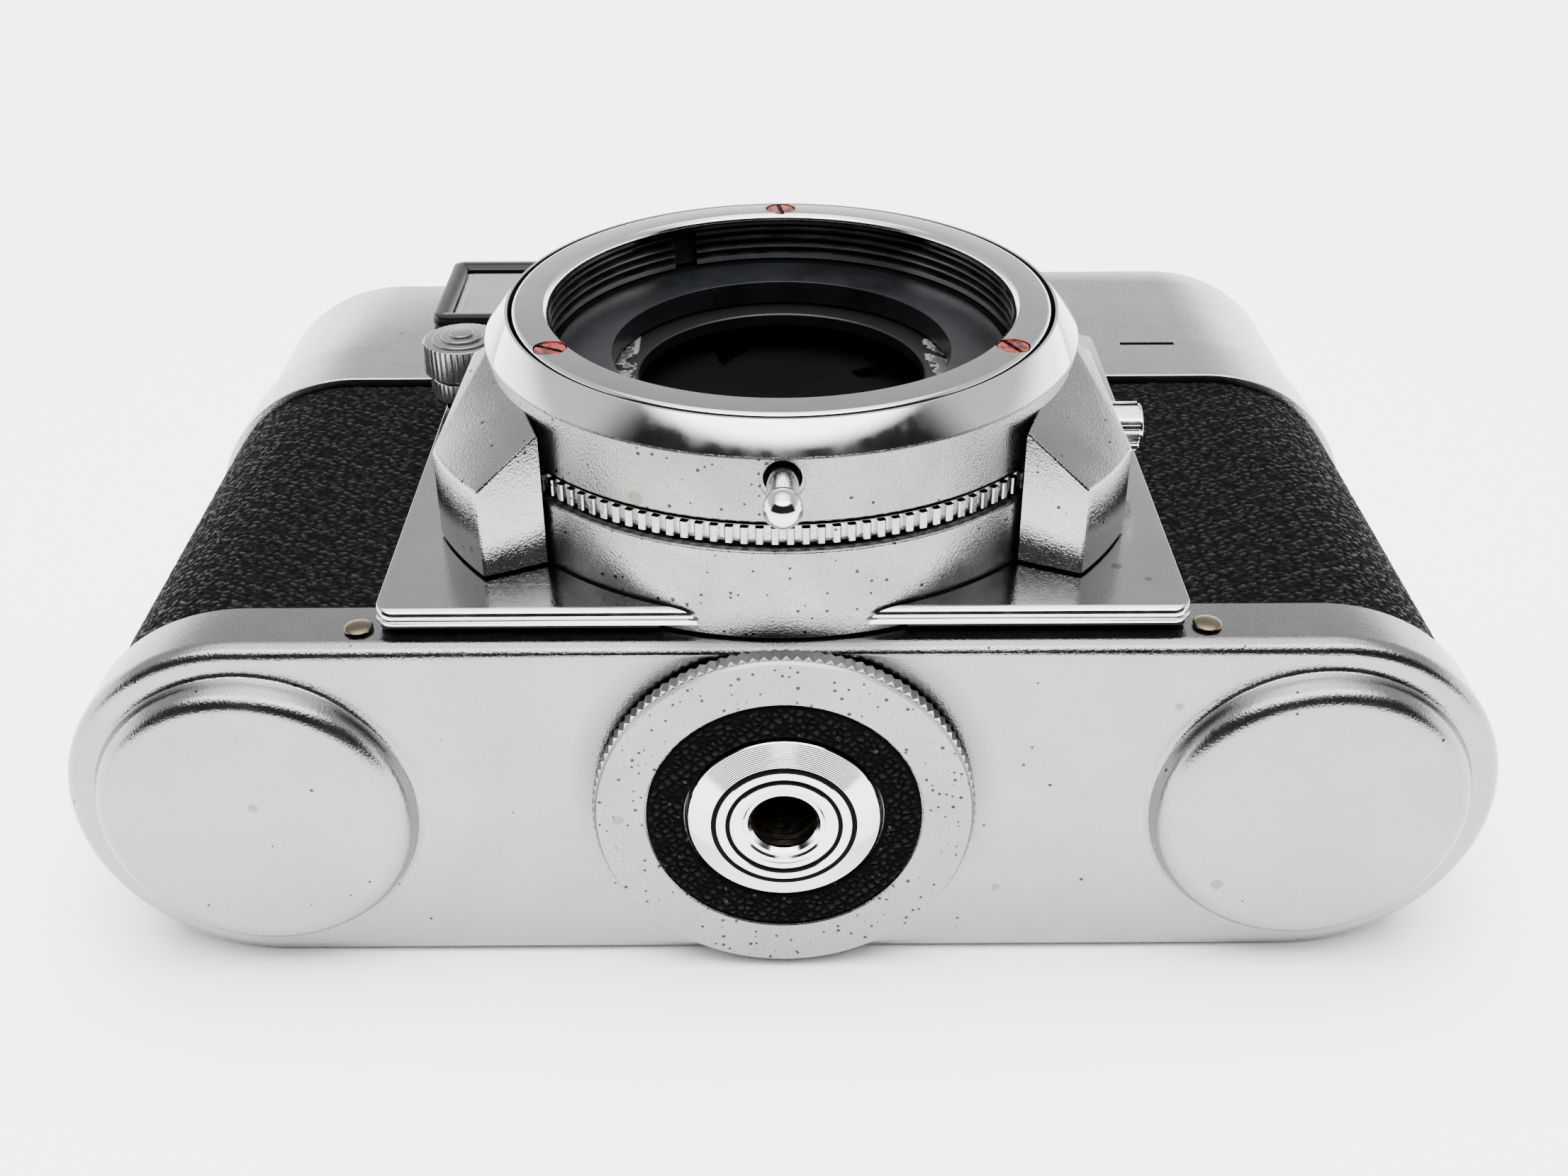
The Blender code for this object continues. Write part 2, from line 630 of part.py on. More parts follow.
def film_transport():
    """Winding knob and spool on one spindle, geared to the sprocket through an idler."""
    axis = (SPOOL_X, 0, END_RADIUS)
    core, stem = 0.0052, 0.002
    spool_profile = [(0, 0.0596), (stem, 0.0596), (stem, 0.0218), (core, 0.0218),
                     (core, -0.0205), (0, -0.0205)]
    spool = turned("take_up_spool", spool_profile, axis, "Y", SMALL_STEPS * 2)
    cut(spool, box("spool_slit", (SPOOL_X - 0.0005, -0.016, END_RADIUS - 0.01),
                   (SPOOL_X + 0.0005, 0.016, END_RADIUS + 0.01)))
    give_finish(spool, "black_enamel")
    knob_profile = [(stem + GAP, 0.06), (0.0078, 0.06), (0.0086, 0.0592), (0.0086, 0.0531),
                    (stem + GAP, 0.0531)]
    give_finish(turned("advance_knob", knob_profile, axis, "Y"), "satin_chrome")
    give_finish(ring("frame_counter", stem + GAP, 0.0084, LEFT_DECK + GAP, 0.0524, axis, "Y"),
                "satin_chrome")
    drum_profile = [(0, 0.0285), (stem, 0.0285), (stem, 0.0216), (0.0059, 0.0216),
                    (0.0059, 0.0150), (0.0045, 0.0140), (0.0045, -0.0140), (0.0059, -0.0150),
                    (0.0059, -0.0205), (0, -0.0205)]
    give_finish(turned("sprocket", drum_profile, (SPROCKET_X, 0, END_RADIUS), "Y", SMALL_STEPS * 2),
                "satin_chrome")
    gear("winding_gear", SPOOL_X, 0)
    gear("idler_gear", (SPOOL_X + SPROCKET_X) / 2, 0.5)
    gear("sprocket_gear", SPROCKET_X, 0)
    button = [(0, 0.0539), (0.0016, 0.0539), (0.0018, 0.0537), (0.0018, 0.0531), (0.0011, 0.0531),
              (0.0011, 0.0470), (0, 0.0470)]
    give_finish(turned("rewind_button", button, (REWIND_BUTTON[0], 0, REWIND_BUTTON[1]), "Y",
                       SMALL_STEPS), "satin_chrome")


def rewind():
    """Rewind knob, and the shaft whose fork turns the film cassette."""
    axis = (REWIND_X, 0, END_RADIUS)
    stem = 0.0021
    knob = [(stem + GAP, 0.0612), (0.008, 0.0612), (0.0088, 0.0604), (0.0088, 0.0554),
            (stem + GAP, 0.0554)]
    give_finish(turned("rewind_knob", knob, axis, "Y"), "satin_chrome")
    shaft = turned("rewind_shaft", [(0, 0.0608), (stem, 0.0608), (stem, 0.0168), (0, 0.0168)],
                   axis, "Y", SMALL_STEPS)
    cut(shaft, box("fork_slot", (REWIND_X - 0.0008, 0.0100, END_RADIUS - 0.01),
                   (REWIND_X + 0.0008, 0.0208, END_RADIUS + 0.01)))
    give_finish(shaft, "spring_steel")


# ---------------------------------------------------------------- back and base

def back():
    """Removable back: sheet shell, covering, and the sprung plate that flattens the film."""
    plate_shell = shell("back_plate", BACK_INSET, BACK_INSET + WALL, BASE_RIM + GAP,
                        TOP_RIM - GAP)
    covering = shell("back_leather", 0.0, LEATHER_THICK, BASE_RIM + GAP, TOP_RIM - GAP)
    for piece in (plate_shell, covering):
        cut(piece, box(piece.name + "_front", (-REACH, -REACH, BACK_SPLIT), (REACH, REACH, REACH)))
    give_finish(plate_shell, "cast_alloy")
    give_finish(covering, "leatherette")
    give_finish(plate("pressure_plate", rounded_rectangle((-0.0275, -0.0163), (0.0275, 0.0163),
                                                          0.002), 0.0072, 0.0082), "black_enamel")
    bow = 0.0035
    half = 0.022
    radius = (half ** 2 + bow ** 2) / (2 * bow)
    spread = math.degrees(math.asin(half / radius))
    floor = BACK_INSET + WALL + GAP
    centre = (0, floor + bow + 0.0004 - radius)
    outline = (arc(centre, radius, 90 - spread, 90 + spread, 10)
               + arc(centre, radius - 0.0004, 90 + spread, 90 - spread, 10))
    give_finish(prism("pressure_spring", outline, -0.004, 0.004), "spring_steel")


def base_cover():
    """Deep base plate with its two round feet and the hole for the locking wheel."""
    piece = prism("base_cover", stadium(0), BASE_FACE, BASE_RIM)
    soften(piece, EDGE_ROUND, lambda place: place.z > -BASE_FACE - 1e-6)
    foot_face = BASE_FACE - 0.00266
    for name, x in (("foot_left", -0.0465), ("foot_right", 0.0465)):
        profile = [(0, BASE_FACE + 0.0008), (0.0143, BASE_FACE + 0.0008), (0.0143, BASE_FACE),
                   (0.0139, foot_face + 0.0009), (0.0131, foot_face), (0, foot_face)]
        join(piece, turned(name, profile, (x, 0, 0.0174), "Y"))
    axis = (0, 0, WHEEL_HEIGHT)
    cut(piece,
        prism("base_hollow", stadium(WALL), BASE_FACE + 0.00126, BASE_RIM + 0.01),
        rod("wheel_hole", 0.0102, BASE_FACE - 0.01, BASE_FACE + 0.01, axis, "Y", ROUND_STEPS))
    for name, x in (("left", -FLANGE_SCREW_X), ("right", FLANGE_SCREW_X)):
        cut(piece, rod("base_screw_hole_" + name, 0.0009, 0.025, REACH, (x, FLANGE_SCREW_Y, 0)))
        dome = [(0, 0.0351), (0.0007, 0.035), (0.0011, 0.03478), (0.00125, 0.03454),
                (0.0006, 0.03454), (0.0006, 0.0325), (0, 0.0325)]
        give_finish(turned("flange_screw_" + name, dome, (x, FLANGE_SCREW_Y, 0),
                           steps=SMALL_STEPS), "polished_chrome")
    give_finish(piece, "satin_chrome")


def base_lock():
    """Knurled locking wheel with its covering and cam, round the fixed tripod bush."""
    axis = (0, 0, WHEEL_HEIGHT)
    sleeve = 0.0099
    bore = BUSH_RADIUS + GAP
    groove = 0.0005
    wheel_profile = [(bore, -0.0259), (sleeve, -0.0259), (sleeve, WHEEL_BACK),
                     (WHEEL_RADIUS, WHEEL_BACK), (WHEEL_RADIUS, WHEEL_FACE + 0.0002),
                     (WHEEL_RADIUS - 0.0004, WHEEL_FACE), (0.0124, WHEEL_FACE),
                     (0.0124, WHEEL_FACE + groove), (bore, WHEEL_FACE + groove)]
    give_finish(turned("lock_wheel", wheel_profile, axis, "Y", MOUNT_STEPS), "satin_chrome")
    give_finish(ring("wheel_leather", bore, 0.0121, WHEEL_FACE - 0.0001,
                     WHEEL_FACE + groove - 0.0001, axis, "Y"), "leatherette")
    cam = ring("lock_cam", sleeve + GAP, 0.0125, -0.027, -0.0258, axis, "Y")
    cut(cam, box("cam_flat", (-0.02, -REACH, WHEEL_HEIGHT + 0.0115), (0.02, REACH, REACH)))
    give_finish(cam, "spring_steel")
    bush_profile = [(SOCKET_RADIUS, -0.0236), (0.005, -0.0236), (0.005, -0.0257),
                    (BUSH_RADIUS, -0.0257), (BUSH_RADIUS, WHEEL_FACE), (0.0063, BUSH_FACE),
                    (SOCKET_RADIUS, BUSH_FACE)]
    give_finish(turned("tripod_bush", bush_profile, axis, "Y"), "polished_chrome")
    bridge = prism("lock_bridge", rounded_rectangle((-0.026, 0.006), (0.026, 0.029), 0.004),
                   -0.0254, -0.0244)
    for name, x in (("left", -0.022), ("right", 0.022)):
        join(bridge, rod("bridge_post_" + name, 0.002, -0.027, -0.0248,
                         (x, 0, WHEEL_HEIGHT), "Y"))
    cut(bridge, rod("bridge_hole", 0.0053, -0.03, -0.02, axis, "Y"))
    give_finish(bridge, "spring_steel")


# ---------------------------------------------------------------- assembly

clear_scene()
PARTS = new_collection("camera_body")
CUTTERS = new_collection("cutters")

body_casting()
leathers()
front_panel()
top_cover()
finder()
accessory_shoe()
lower_barrel()
mount_housing()
mount_ring()
mount_inside()
serrated_ring()
lock_pin()
side_fittings()
release()
shutter_housing()
shutter_blades()
film_gate()
film_transport()
rewind()
back()
base_cover()
base_lock()
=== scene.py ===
"""Finished surfaces for the body of a 35 mm camera that lies on its back, lens mount upwards."""

import math

import bmesh
import bpy
import numpy as np
from mathutils import Matrix, Vector


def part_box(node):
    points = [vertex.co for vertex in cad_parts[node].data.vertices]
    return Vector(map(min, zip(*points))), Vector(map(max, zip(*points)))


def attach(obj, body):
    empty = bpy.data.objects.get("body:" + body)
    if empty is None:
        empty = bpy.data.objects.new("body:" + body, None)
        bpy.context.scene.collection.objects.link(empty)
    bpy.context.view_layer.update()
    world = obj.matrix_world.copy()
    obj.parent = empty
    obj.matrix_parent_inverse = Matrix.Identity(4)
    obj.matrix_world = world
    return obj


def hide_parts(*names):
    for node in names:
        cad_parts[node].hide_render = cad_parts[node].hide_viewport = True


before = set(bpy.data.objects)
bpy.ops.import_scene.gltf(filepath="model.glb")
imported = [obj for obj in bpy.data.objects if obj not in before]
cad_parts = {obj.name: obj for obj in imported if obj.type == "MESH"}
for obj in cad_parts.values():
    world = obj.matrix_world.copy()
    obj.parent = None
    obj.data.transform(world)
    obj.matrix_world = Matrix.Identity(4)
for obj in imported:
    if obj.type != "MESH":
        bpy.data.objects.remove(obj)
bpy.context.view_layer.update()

# ------------------------------------------------------------------ camera
# The view from the front and a little above, base plate nearest, as it stands on a work table.

camera_data = bpy.data.cameras.new("camera")
camera_data.lens = 40.53
camera_data.sensor_width = 36.0
camera_data.clip_start = 0.001
camera = bpy.data.objects.new("camera", camera_data)
camera.location = (-0.00028, -0.15138, 0.11616)
camera.rotation_euler = (math.radians(58.22), math.radians(0.17), math.radians(-0.27))
bpy.context.scene.collection.objects.link(camera)
bpy.context.scene.camera = camera

# ------------------------------------------------------------------ table and light
# A white paper sheet with a large soft light over it. The plated faces mirror the room, which
# is dark on the near side up to the windows and pale above them, and grey on the far side.

FLOOR_SIZE = 3.0
floor_mesh = bpy.data.meshes.new("floor")
floor_shape = bmesh.new()
bmesh.ops.create_grid(floor_shape, x_segments=1, y_segments=1, size=FLOOR_SIZE)
floor_shape.to_mesh(floor_mesh)
floor_shape.free()
floor = bpy.data.objects.new("floor", floor_mesh)
floor.location.z = -0.0001
bpy.context.scene.collection.objects.link(floor)
paper = bpy.data.materials.new("white_paper")
paper.use_nodes = True
paper_shader = paper.node_tree.nodes["Principled BSDF"]
paper_shader.inputs["Base Color"].default_value = (0.86, 0.855, 0.85, 1)
paper_shader.inputs["Roughness"].default_value = 0.9
floor.data.materials.append(paper)


def soft_light(name, place, aim, size, power, colour=(1, 1, 1)):
    light = bpy.data.lights.new(name, "AREA")
    light.shape = "RECTANGLE"
    light.size, light.size_y = size
    light.energy = power
    light.color = colour
    lamp = bpy.data.objects.new(name, light)
    lamp.location = place
    lamp.rotation_euler = (Vector(aim) - Vector(place)).to_track_quat("-Z", "Y").to_euler()
    bpy.context.scene.collection.objects.link(lamp)
    return lamp


ceiling = soft_light("ceiling", (0, 0.0, 0.9), (0, 0, 0), (1.0, 1.0), 46.0)
ceiling.visible_glossy = False

room = bpy.data.worlds.new("room")
room.use_nodes = True
room_nodes, room_links = room.node_tree.nodes, room.node_tree.links
room_direction = room_nodes.new("ShaderNodeTexCoord").outputs["Generated"]
room_split = room_nodes.new("ShaderNodeSeparateXYZ")
room_links.new(room_direction, room_split.inputs[0])


def room_wall(stops):
    """Grey levels of a wall from the floor line up to the zenith, by the sine of elevation."""
    wall = room_nodes.new("ShaderNodeValToRGB")
    wall.color_ramp.interpolation = "EASE"
    while len(wall.color_ramp.elements) < len(stops):
        wall.color_ramp.elements.new(0.5)
    for stop, (position, level) in zip(wall.color_ramp.elements, stops):
        stop.position = position
        stop.color = (level, level, level * 1.015, 1)
    room_links.new(room_split.outputs["Z"], wall.inputs[0])
    return wall.outputs["Color"]


far_wall = room_wall(((0.0, 0.7), (0.12, 0.5), (0.36, 0.12), (0.75, 0.1), (0.9, 0.35), (1.0, 0.6)))
near_wall = room_wall(((0.0, 0.08), (0.03, 0.003), (0.64, 0.003), (0.73, 0.9), (0.8, 1.0), (1.0, 0.6)))
room_side = room_nodes.new("ShaderNodeMapRange")
room_side.interpolation_type = "SMOOTHSTEP"
room_side.inputs["From Min"].default_value = -0.45
room_side.inputs["From Max"].default_value = -0.12
room_links.new(room_split.outputs["Y"], room_side.inputs["Value"])
room_blend = room_nodes.new("ShaderNodeMix")
room_blend.data_type = "RGBA"
room_links.new(room_side.outputs["Result"], room_blend.inputs[0])
room_links.new(near_wall, room_blend.inputs[6])
room_links.new(far_wall, room_blend.inputs[7])
room_links.new(room_blend.outputs[2], room_nodes["Background"].inputs["Color"])
room_nodes["Background"].inputs["Strength"].default_value = 8.0
bpy.context.scene.world = room

# ------------------------------------------------------------------ body casting and works
# The die-cast frame, the film gate, the shutter and the film advance. They are inside the
# case, screwed to the casting, and show only with the back off or down the lens mount.


def shader_of(material):
    return material.node_tree.nodes["Principled BSDF"]


def plain_finish(name, colour, roughness, metallic):
    """A finish with an even base, to which the grain is added."""
    material = bpy.data.materials.new(name)
    material.use_nodes = True
    shader = shader_of(material)
    shader.inputs["Base Color"].default_value = (*colour, 1)
    shader.inputs["Roughness"].default_value = roughness
    shader.inputs["Metallic"].default_value = metallic
    return material


def noise(material, size, detail=2.0, stretch=(1, 1, 1), roughness=0.5):
    """A noise pattern on the piece, with features of about the given size in metres."""
    nodes, links = material.node_tree.nodes, material.node_tree.links
    place = nodes.new("ShaderNodeTexCoord")
    spread = nodes.new("ShaderNodeMapping")
    spread.inputs["Scale"].default_value = stretch
    pattern = nodes.new("ShaderNodeTexNoise")
    pattern.inputs["Scale"].default_value = 1 / size
    pattern.inputs["Detail"].default_value = detail
    pattern.inputs["Roughness"].default_value = roughness
    links.new(place.outputs["Object"], spread.inputs["Vector"])
    links.new(spread.outputs["Vector"], pattern.inputs["Vector"])
    return pattern.outputs["Fac"]


def ramp(material, value, *stops):
    """Turns a value into a colour through (position, colour) stops."""
    node = material.node_tree.nodes.new("ShaderNodeValToRGB")
    material.node_tree.links.new(value, node.inputs[0])
    elements = node.color_ramp.elements
    while len(elements) < len(stops):
        elements.new(0.5)
    for element, (position, colour) in zip(elements, stops):
        element.position = position
        element.color = (*colour, 1) if len(colour) == 3 else colour
    return node.outputs["Color"]


def span(material, value, low, high, start=0.0, end=1.0):
    """Maps a value from start..end to low..high, held at both ends."""
    node = material.node_tree.nodes.new("ShaderNodeMapRange")
    node.inputs["From Min"].default_value = start
    node.inputs["From Max"].default_value = end
    node.inputs["To Min"].default_value = low
    node.inputs["To Max"].default_value = high
    material.node_tree.links.new(value, node.inputs["Value"])
    return node.outputs["Result"]


def mixed(material, share, first, second, blend="MIX"):
    """Mixes two colours, each a socket or a plain colour, by a share."""
    node = material.node_tree.nodes.new("ShaderNodeMix")
    node.data_type = "RGBA"
    node.blend_type = blend
    if isinstance(share, float):
        node.inputs[0].default_value = share
    else:
        material.node_tree.links.new(share, node.inputs[0])
    for slot, value in ((6, first), (7, second)):
        if isinstance(value, tuple):
            node.inputs[slot].default_value = (*value, 1)
        else:
            material.node_tree.links.new(value, node.inputs[slot])
    return node.outputs[2]


def bump(material, height, distance, strength=1.0):
    """Adds a fine relief to the shader, over any that it already has."""
    nodes, links = material.node_tree.nodes, material.node_tree.links
    node = nodes.new("ShaderNodeBump")
    node.inputs["Distance"].default_value = distance
    node.inputs["Strength"].default_value = strength
    links.new(height, node.inputs["Height"])
    normal = shader_of(material).inputs["Normal"]
    if normal.is_linked:
        links.new(normal.links[0].from_socket, node.inputs["Normal"])
    links.new(node.outputs["Normal"], normal)


def feed(material, value, socket):
    material.node_tree.links.new(value, shader_of(material).inputs[socket])


def grained(name, colour, roughness, metallic, grain, depth, shade=0.15):
    """A finish with a fine grain and a slow change of tone, for castings and enamel."""
    material = plain_finish(name, colour, roughness, metallic)
    tone = noise(material, 0.006, 3)
    dark = tuple(channel * (1 - shade) for channel in colour)
    light = tuple(min(1.0, channel * (1 + shade)) for channel in colour)
    feed(material, ramp(material, tone, (0.3, dark), (0.7, light)), "Base Color")
    feed(material, span(material, noise(material, 0.0015, 3), roughness * 0.85,
                        min(1.0, roughness * 1.15), 0.3, 0.7), "Roughness")
    bump(material, noise(material, grain, 3), depth)
    return material


black_coat = grained("black_coat", (0.0012, 0.0012, 0.0013), 0.8, 0.0, 0.00025, 0.00003)
shader_of(black_coat).inputs["Specular IOR Level"].default_value = 0.04
cast_alloy = grained("cast_alloy", (0.3, 0.3, 0.31), 0.5, 1.0, 0.0004, 0.00004)
spring_steel = grained("spring_steel", (0.42, 0.42, 0.44), 0.3, 1.0, 0.00015, 0.00001)
gear_brass = grained("gear_brass", (0.62, 0.45, 0.18), 0.28, 1.0, 0.0002, 0.00001)
gate_black = grained("gate_black", (0.014, 0.014, 0.015), 0.25, 0.0, 0.0006, 0.00001)


def dress(node, material):
    """Gives a CAD piece that stays its finish."""
    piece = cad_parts[node]
    piece.data.materials.clear()
    piece.data.materials.append(material)


for node, material in (("body_casting", cast_alloy), ("back_plate", black_coat),
                       ("film_gate", gate_black), ("shutter_housing", black_coat),
                       ("take_up_spool", black_coat), ("sprocket", spring_steel),
                       ("rewind_shaft", spring_steel), ("lock_bridge", spring_steel),
                       ("lock_cam", spring_steel), ("pressure_plate", gate_black),
                       ("pressure_spring", spring_steel), ("winding_gear", gear_brass),
                       ("idler_gear", gear_brass), ("sprocket_gear", gear_brass)):
    dress(node, material)
for number in range(1, 6):
    dress(f"shutter_blade_{number}", black_coat)

# ------------------------------------------------------------------ leather covering
# Thin black leatherette with a raised, slightly drawn-out grain, glued round both ends of the
# case and over the back. Its edges are trimmed just under the rims of the plated covers.

BODY_LENGTH = 2 * max(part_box("top_cover")[1].x, 0.0635)
BODY_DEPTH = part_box("base_cover")[1].z
END_RADIUS = BODY_DEPTH / 2
END_CENTRE = BODY_LENGTH / 2 - END_RADIUS


def path_point(distance, inset):
    """A point (x, z) of the case's outline, from the middle of the front round the +X end."""
    radius = END_RADIUS - inset
    quarter = math.pi * radius
    if distance < END_CENTRE:
        return distance, BODY_DEPTH - inset, 0.0, 1.0
    if distance < END_CENTRE + quarter:
        angle = math.pi / 2 - (distance - END_CENTRE) / radius
        cosine, sine = math.cos(angle), math.sin(angle)
        return END_CENTRE + radius * cosine, END_RADIUS + radius * sine, cosine, sine
    return END_CENTRE - (distance - END_CENTRE - quarter), inset, 0.0, -1.0


def cells(u, v, seed):
    """Distance to the nearest and second nearest of a jittered grid of points."""
    column, row = np.floor(u), np.floor(v)
    first = np.full(u.shape, 9.0)
    second = np.full(u.shape, 9.0)
    for step_u in (-1, 0, 1):
        for step_v in (-1, 0, 1):
            cell_u, cell_v = column + step_u, row + step_v
            key = cell_u * 127.1 + cell_v * 311.7 + seed
            point_u = cell_u + 0.5 + 0.42 * np.sin(key * 43.7581)
            point_v = cell_v + 0.5 + 0.42 * np.cos(key * 29.3417)
            gap = np.hypot(u - point_u, v - point_v)
            second = np.minimum(second, np.maximum(first, gap))
            first = np.minimum(first, gap)
    return first, second


def grain_relief(u, v, seed):
    """Height of the grain, 0 in the creases and 1 on the pebbles, for places in metres."""
    bend_u = u + 0.00018 * np.sin(v * 5200 + seed) + 0.0002 * np.sin(v * 1900)
    bend_v = v + 0.00012 * np.sin(u * 4300 + seed)
    first, second = cells(bend_u / 0.00115, bend_v / 0.00062, seed)
    pebble = np.clip((second - first) * 2.6, 0, 1)
    first, second = cells(bend_u / 0.0005, bend_v / 0.0004, seed + 7)
    return pebble * 0.8 + np.clip((second - first) * 2.0, 0, 1) * 0.2


def mesh_from(name, places, faces):
    mesh = bpy.data.meshes.new(name)
    mesh.from_pydata([tuple(place) for place in places], [], faces)
    return mesh


def outward(mesh):
    """Welds what meets and turns every face of a closed mesh outwards."""
    shape = bmesh.new()
    shape.from_mesh(mesh)
    bmesh.ops.remove_doubles(shape, verts=shape.verts, dist=2e-7)
    bmesh.ops.recalc_face_normals(shape, faces=shape.faces)
    shape.to_mesh(mesh)
    shape.free()
    return mesh


def add_piece(name, mesh, body, node, materials, replaces=True, angle=35):
    """A finished piece: smooth where it is round, on its body, in place of its CAD node."""
    piece = bpy.data.objects.new(name, mesh)
    bpy.context.scene.collection.objects.link(piece)
    parts = np.empty(len(mesh.polygons), np.int32)
    mesh.polygons.foreach_get("material_index", parts)
    mesh.materials.clear()
    for material in materials:
        mesh.materials.append(material)
    mesh.polygons.foreach_set("material_index", np.minimum(parts, len(materials) - 1))
    mesh.shade_smooth()
    mesh.set_sharp_from_angle(angle=math.radians(angle))
    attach(piece, body)
    if replaces:
        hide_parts(node)
    return piece


LEATHER_THICK = 0.0007
GRAIN_DEPTH = 0.00022


def leather_sheet(name, start, end, inset, low, high, side, seed):
    """A closed sheet along the case's outline, with the grain raised on its outer side."""
    spacing = 0.00022
    columns = max(2, round((end - start) / spacing)) + 1
    rows = max(2, round((high - low) / spacing)) + 1
    along = np.linspace(start, end, columns)
    across = np.linspace(low, high, rows)
    grid_u, grid_v = np.meshgrid(along, across, indexing="ij")
    relief = grain_relief(grid_u, grid_v, seed)
    trim = np.minimum(np.minimum(grid_u - start, end - grid_u),
                      np.minimum(grid_v - low, high - grid_v))
    worn = np.clip(trim / 0.0005, 0, 1)
    depth = GRAIN_DEPTH * (1 - relief * worn) + 0.0002 * (1 - worn) ** 2
    frames = np.array([path_point(distance, inset) for distance in along])
    outer = np.empty((columns, rows, 3))
    outer[..., 0] = side * (frames[:, None, 0] - frames[:, None, 2] * depth)
    outer[..., 1] = grid_v
    outer[..., 2] = frames[:, None, 1] - frames[:, None, 3] * depth
    count = columns * rows
    lining = np.empty((columns, 2, 3))
    for edge, y in enumerate((low, high)):
        lining[:, edge, 0] = side * (frames[:, 0] - frames[:, 2] * LEATHER_THICK)
        lining[:, edge, 1] = y
        lining[:, edge, 2] = frames[:, 1] - frames[:, 3] * LEATHER_THICK
    places = np.concatenate([outer.reshape(-1, 3), lining.reshape(-1, 3)])
    faces = []
    for i in range(columns - 1):
        for j in range(rows - 1):
            corner = i * rows + j
            faces.append((corner, corner + 1, corner + rows + 1, corner + rows))
        near, far = count + 2 * i, count + 2 * (i + 1)
        faces.append((near, far, far + 1, near + 1))
        faces.append((i * rows, (i + 1) * rows, far, near))
        faces.append((i * rows + rows - 1, near + 1, far + 1, (i + 1) * rows + rows - 1))
    faces.append(tuple(range(rows)) + (count + 1, count))
    last = count - rows
    faces.append(tuple(range(count - 1, last - 1, -1)) + (count + 2 * columns - 2,
                                                          count + 2 * columns - 1))
    mesh = mesh_from(name, places, faces)
    keep_relief(mesh, np.concatenate([(relief * worn).ravel(), np.zeros(2 * columns)]))
    return mesh


def keep_relief(mesh, relief):
    """Stores how high each point of the grain stands, for the finish to read."""
    store = mesh.attributes.new("relief", "FLOAT", "POINT")
    store.data.foreach_set("value", relief.astype(np.float32))


def leather_finish(name):
    """Black: dull in the creases, rubbed a little shiny on the pebbles."""
    material = plain_finish(name, (0.002, 0.002, 0.002), 0.5, 0.0)
    relief = material.node_tree.nodes.new("ShaderNodeAttribute")
    relief.attribute_name = "relief"
    height = relief.outputs["Fac"]
    feed(material, ramp(material, height, (0.3, (0.0012, 0.0012, 0.0012)),
                        (0.95, (0.0036, 0.0038, 0.004))), "Base Color")
    feed(material, span(material, height, 0.85, 0.45, 0.5, 0.98), "Roughness")
    feed(material, span(material, height, 0.03, 0.16, 0.72, 1.0), "Specular IOR Level")
    bump(material, noise(material, 0.00022, 3), 0.00004, 0.8)
    return material


leatherette = leather_finish("leatherette")
for name, side, seed in (("leather_left", -1, 3), ("leather_right", 1, 11)):
    low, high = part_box(name)
    inset = BODY_DEPTH - high.z
    radius = END_RADIUS - inset
    start = min(abs(low.x), abs(high.x))
    drop = math.asin((END_RADIUS - low.z) / radius)
    end = END_CENTRE + radius * (math.pi / 2 + drop)
    sheet = leather_sheet(name, start, end, inset, low.y, high.y, side, seed)
    if side < 0:
        sheet.flip_normals()
    add_piece(name + "_grain", sheet, "camera_body", name, [leatherette], angle=60)

low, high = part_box("back_leather")
inset = low.z
radius = END_RADIUS - inset
rise = math.asin((END_RADIUS - high.z) / radius)
start = END_CENTRE + radius * (math.pi / 2 + rise)
middle = 2 * END_CENTRE + math.pi * radius
halves = [leather_sheet("back_leather", start, middle, inset, low.y, high.y, side, 23 + side)
          for side in (1, -1)]
halves[1].flip_normals()
for mesh, name in zip(halves, ("back_leather_right_half", "back_leather_left_half")):
    add_piece(name, mesh, "back_and_base", "back_leather", [leatherette], angle=60)

# ------------------------------------------------------------------ top cover
# Pressed brass, satin chromed: a band round the case, a cap that is a touch shorter than the
# band at both ends, and decks at three heights, with a slot where cap and band part.

TOP_LOW, TOP_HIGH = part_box("top_cover")
SEAM = 0.0334
LEFT_DECK = 0.05113
RIGHT_DECK = 0.05492
HOUSING_TOP = TOP_HIGH.y
CAP_SETBACK = 0.0006
SHEET = 0.0009


def arc(centre, radius, start, end, steps):
    """Points on an arc, in degrees, both ends included."""
    angles = np.radians(np.linspace(start, end, steps + 1))
    return [(centre[0] + radius * math.cos(a), centre[1] + radius * math.sin(a)) for a in angles]


def case_outline(inset, setback=0.0, steps=72):
    """The case's outline in X and Z."""
    radius = END_RADIUS - inset
    centre = END_CENTRE - setback
    return (arc((centre, END_RADIUS), radius, -90, 90, steps)
            + arc((-centre, END_RADIUS), radius, 90, 270, steps))


def loft(name, loops, closed=False):
    """Joins loops of equally many points, with flat ends unless the loops close on themselves."""
    size = len(loops[0])
    places = [place for loop in loops for place in loop]
    faces = []
    rows = len(loops) if closed else len(loops) - 1
    for row in range(rows):
        below, above = row * size, (row + 1) % len(loops) * size
        for i in range(size):
            j = (i + 1) % size
            faces.append((below + i, below + j, above + j, above + i))
    if not closed:
        faces.append(tuple(reversed(range(size))))
        faces.append(tuple(range((len(loops) - 1) * size, len(loops) * size)))
    return outward(mesh_from(name, places, faces))


def prism(name, outline, low, high):
    """An outline in X and Z between two stations along Y."""
    return loft(name, [[(x, y, z) for x, z in outline] for y in (low, high)])


def block(name, low, high):
    outline = [(low[0], low[2]), (high[0], low[2]), (high[0], high[2]), (low[0], high[2])]
    return prism(name, outline, low[1], high[1])


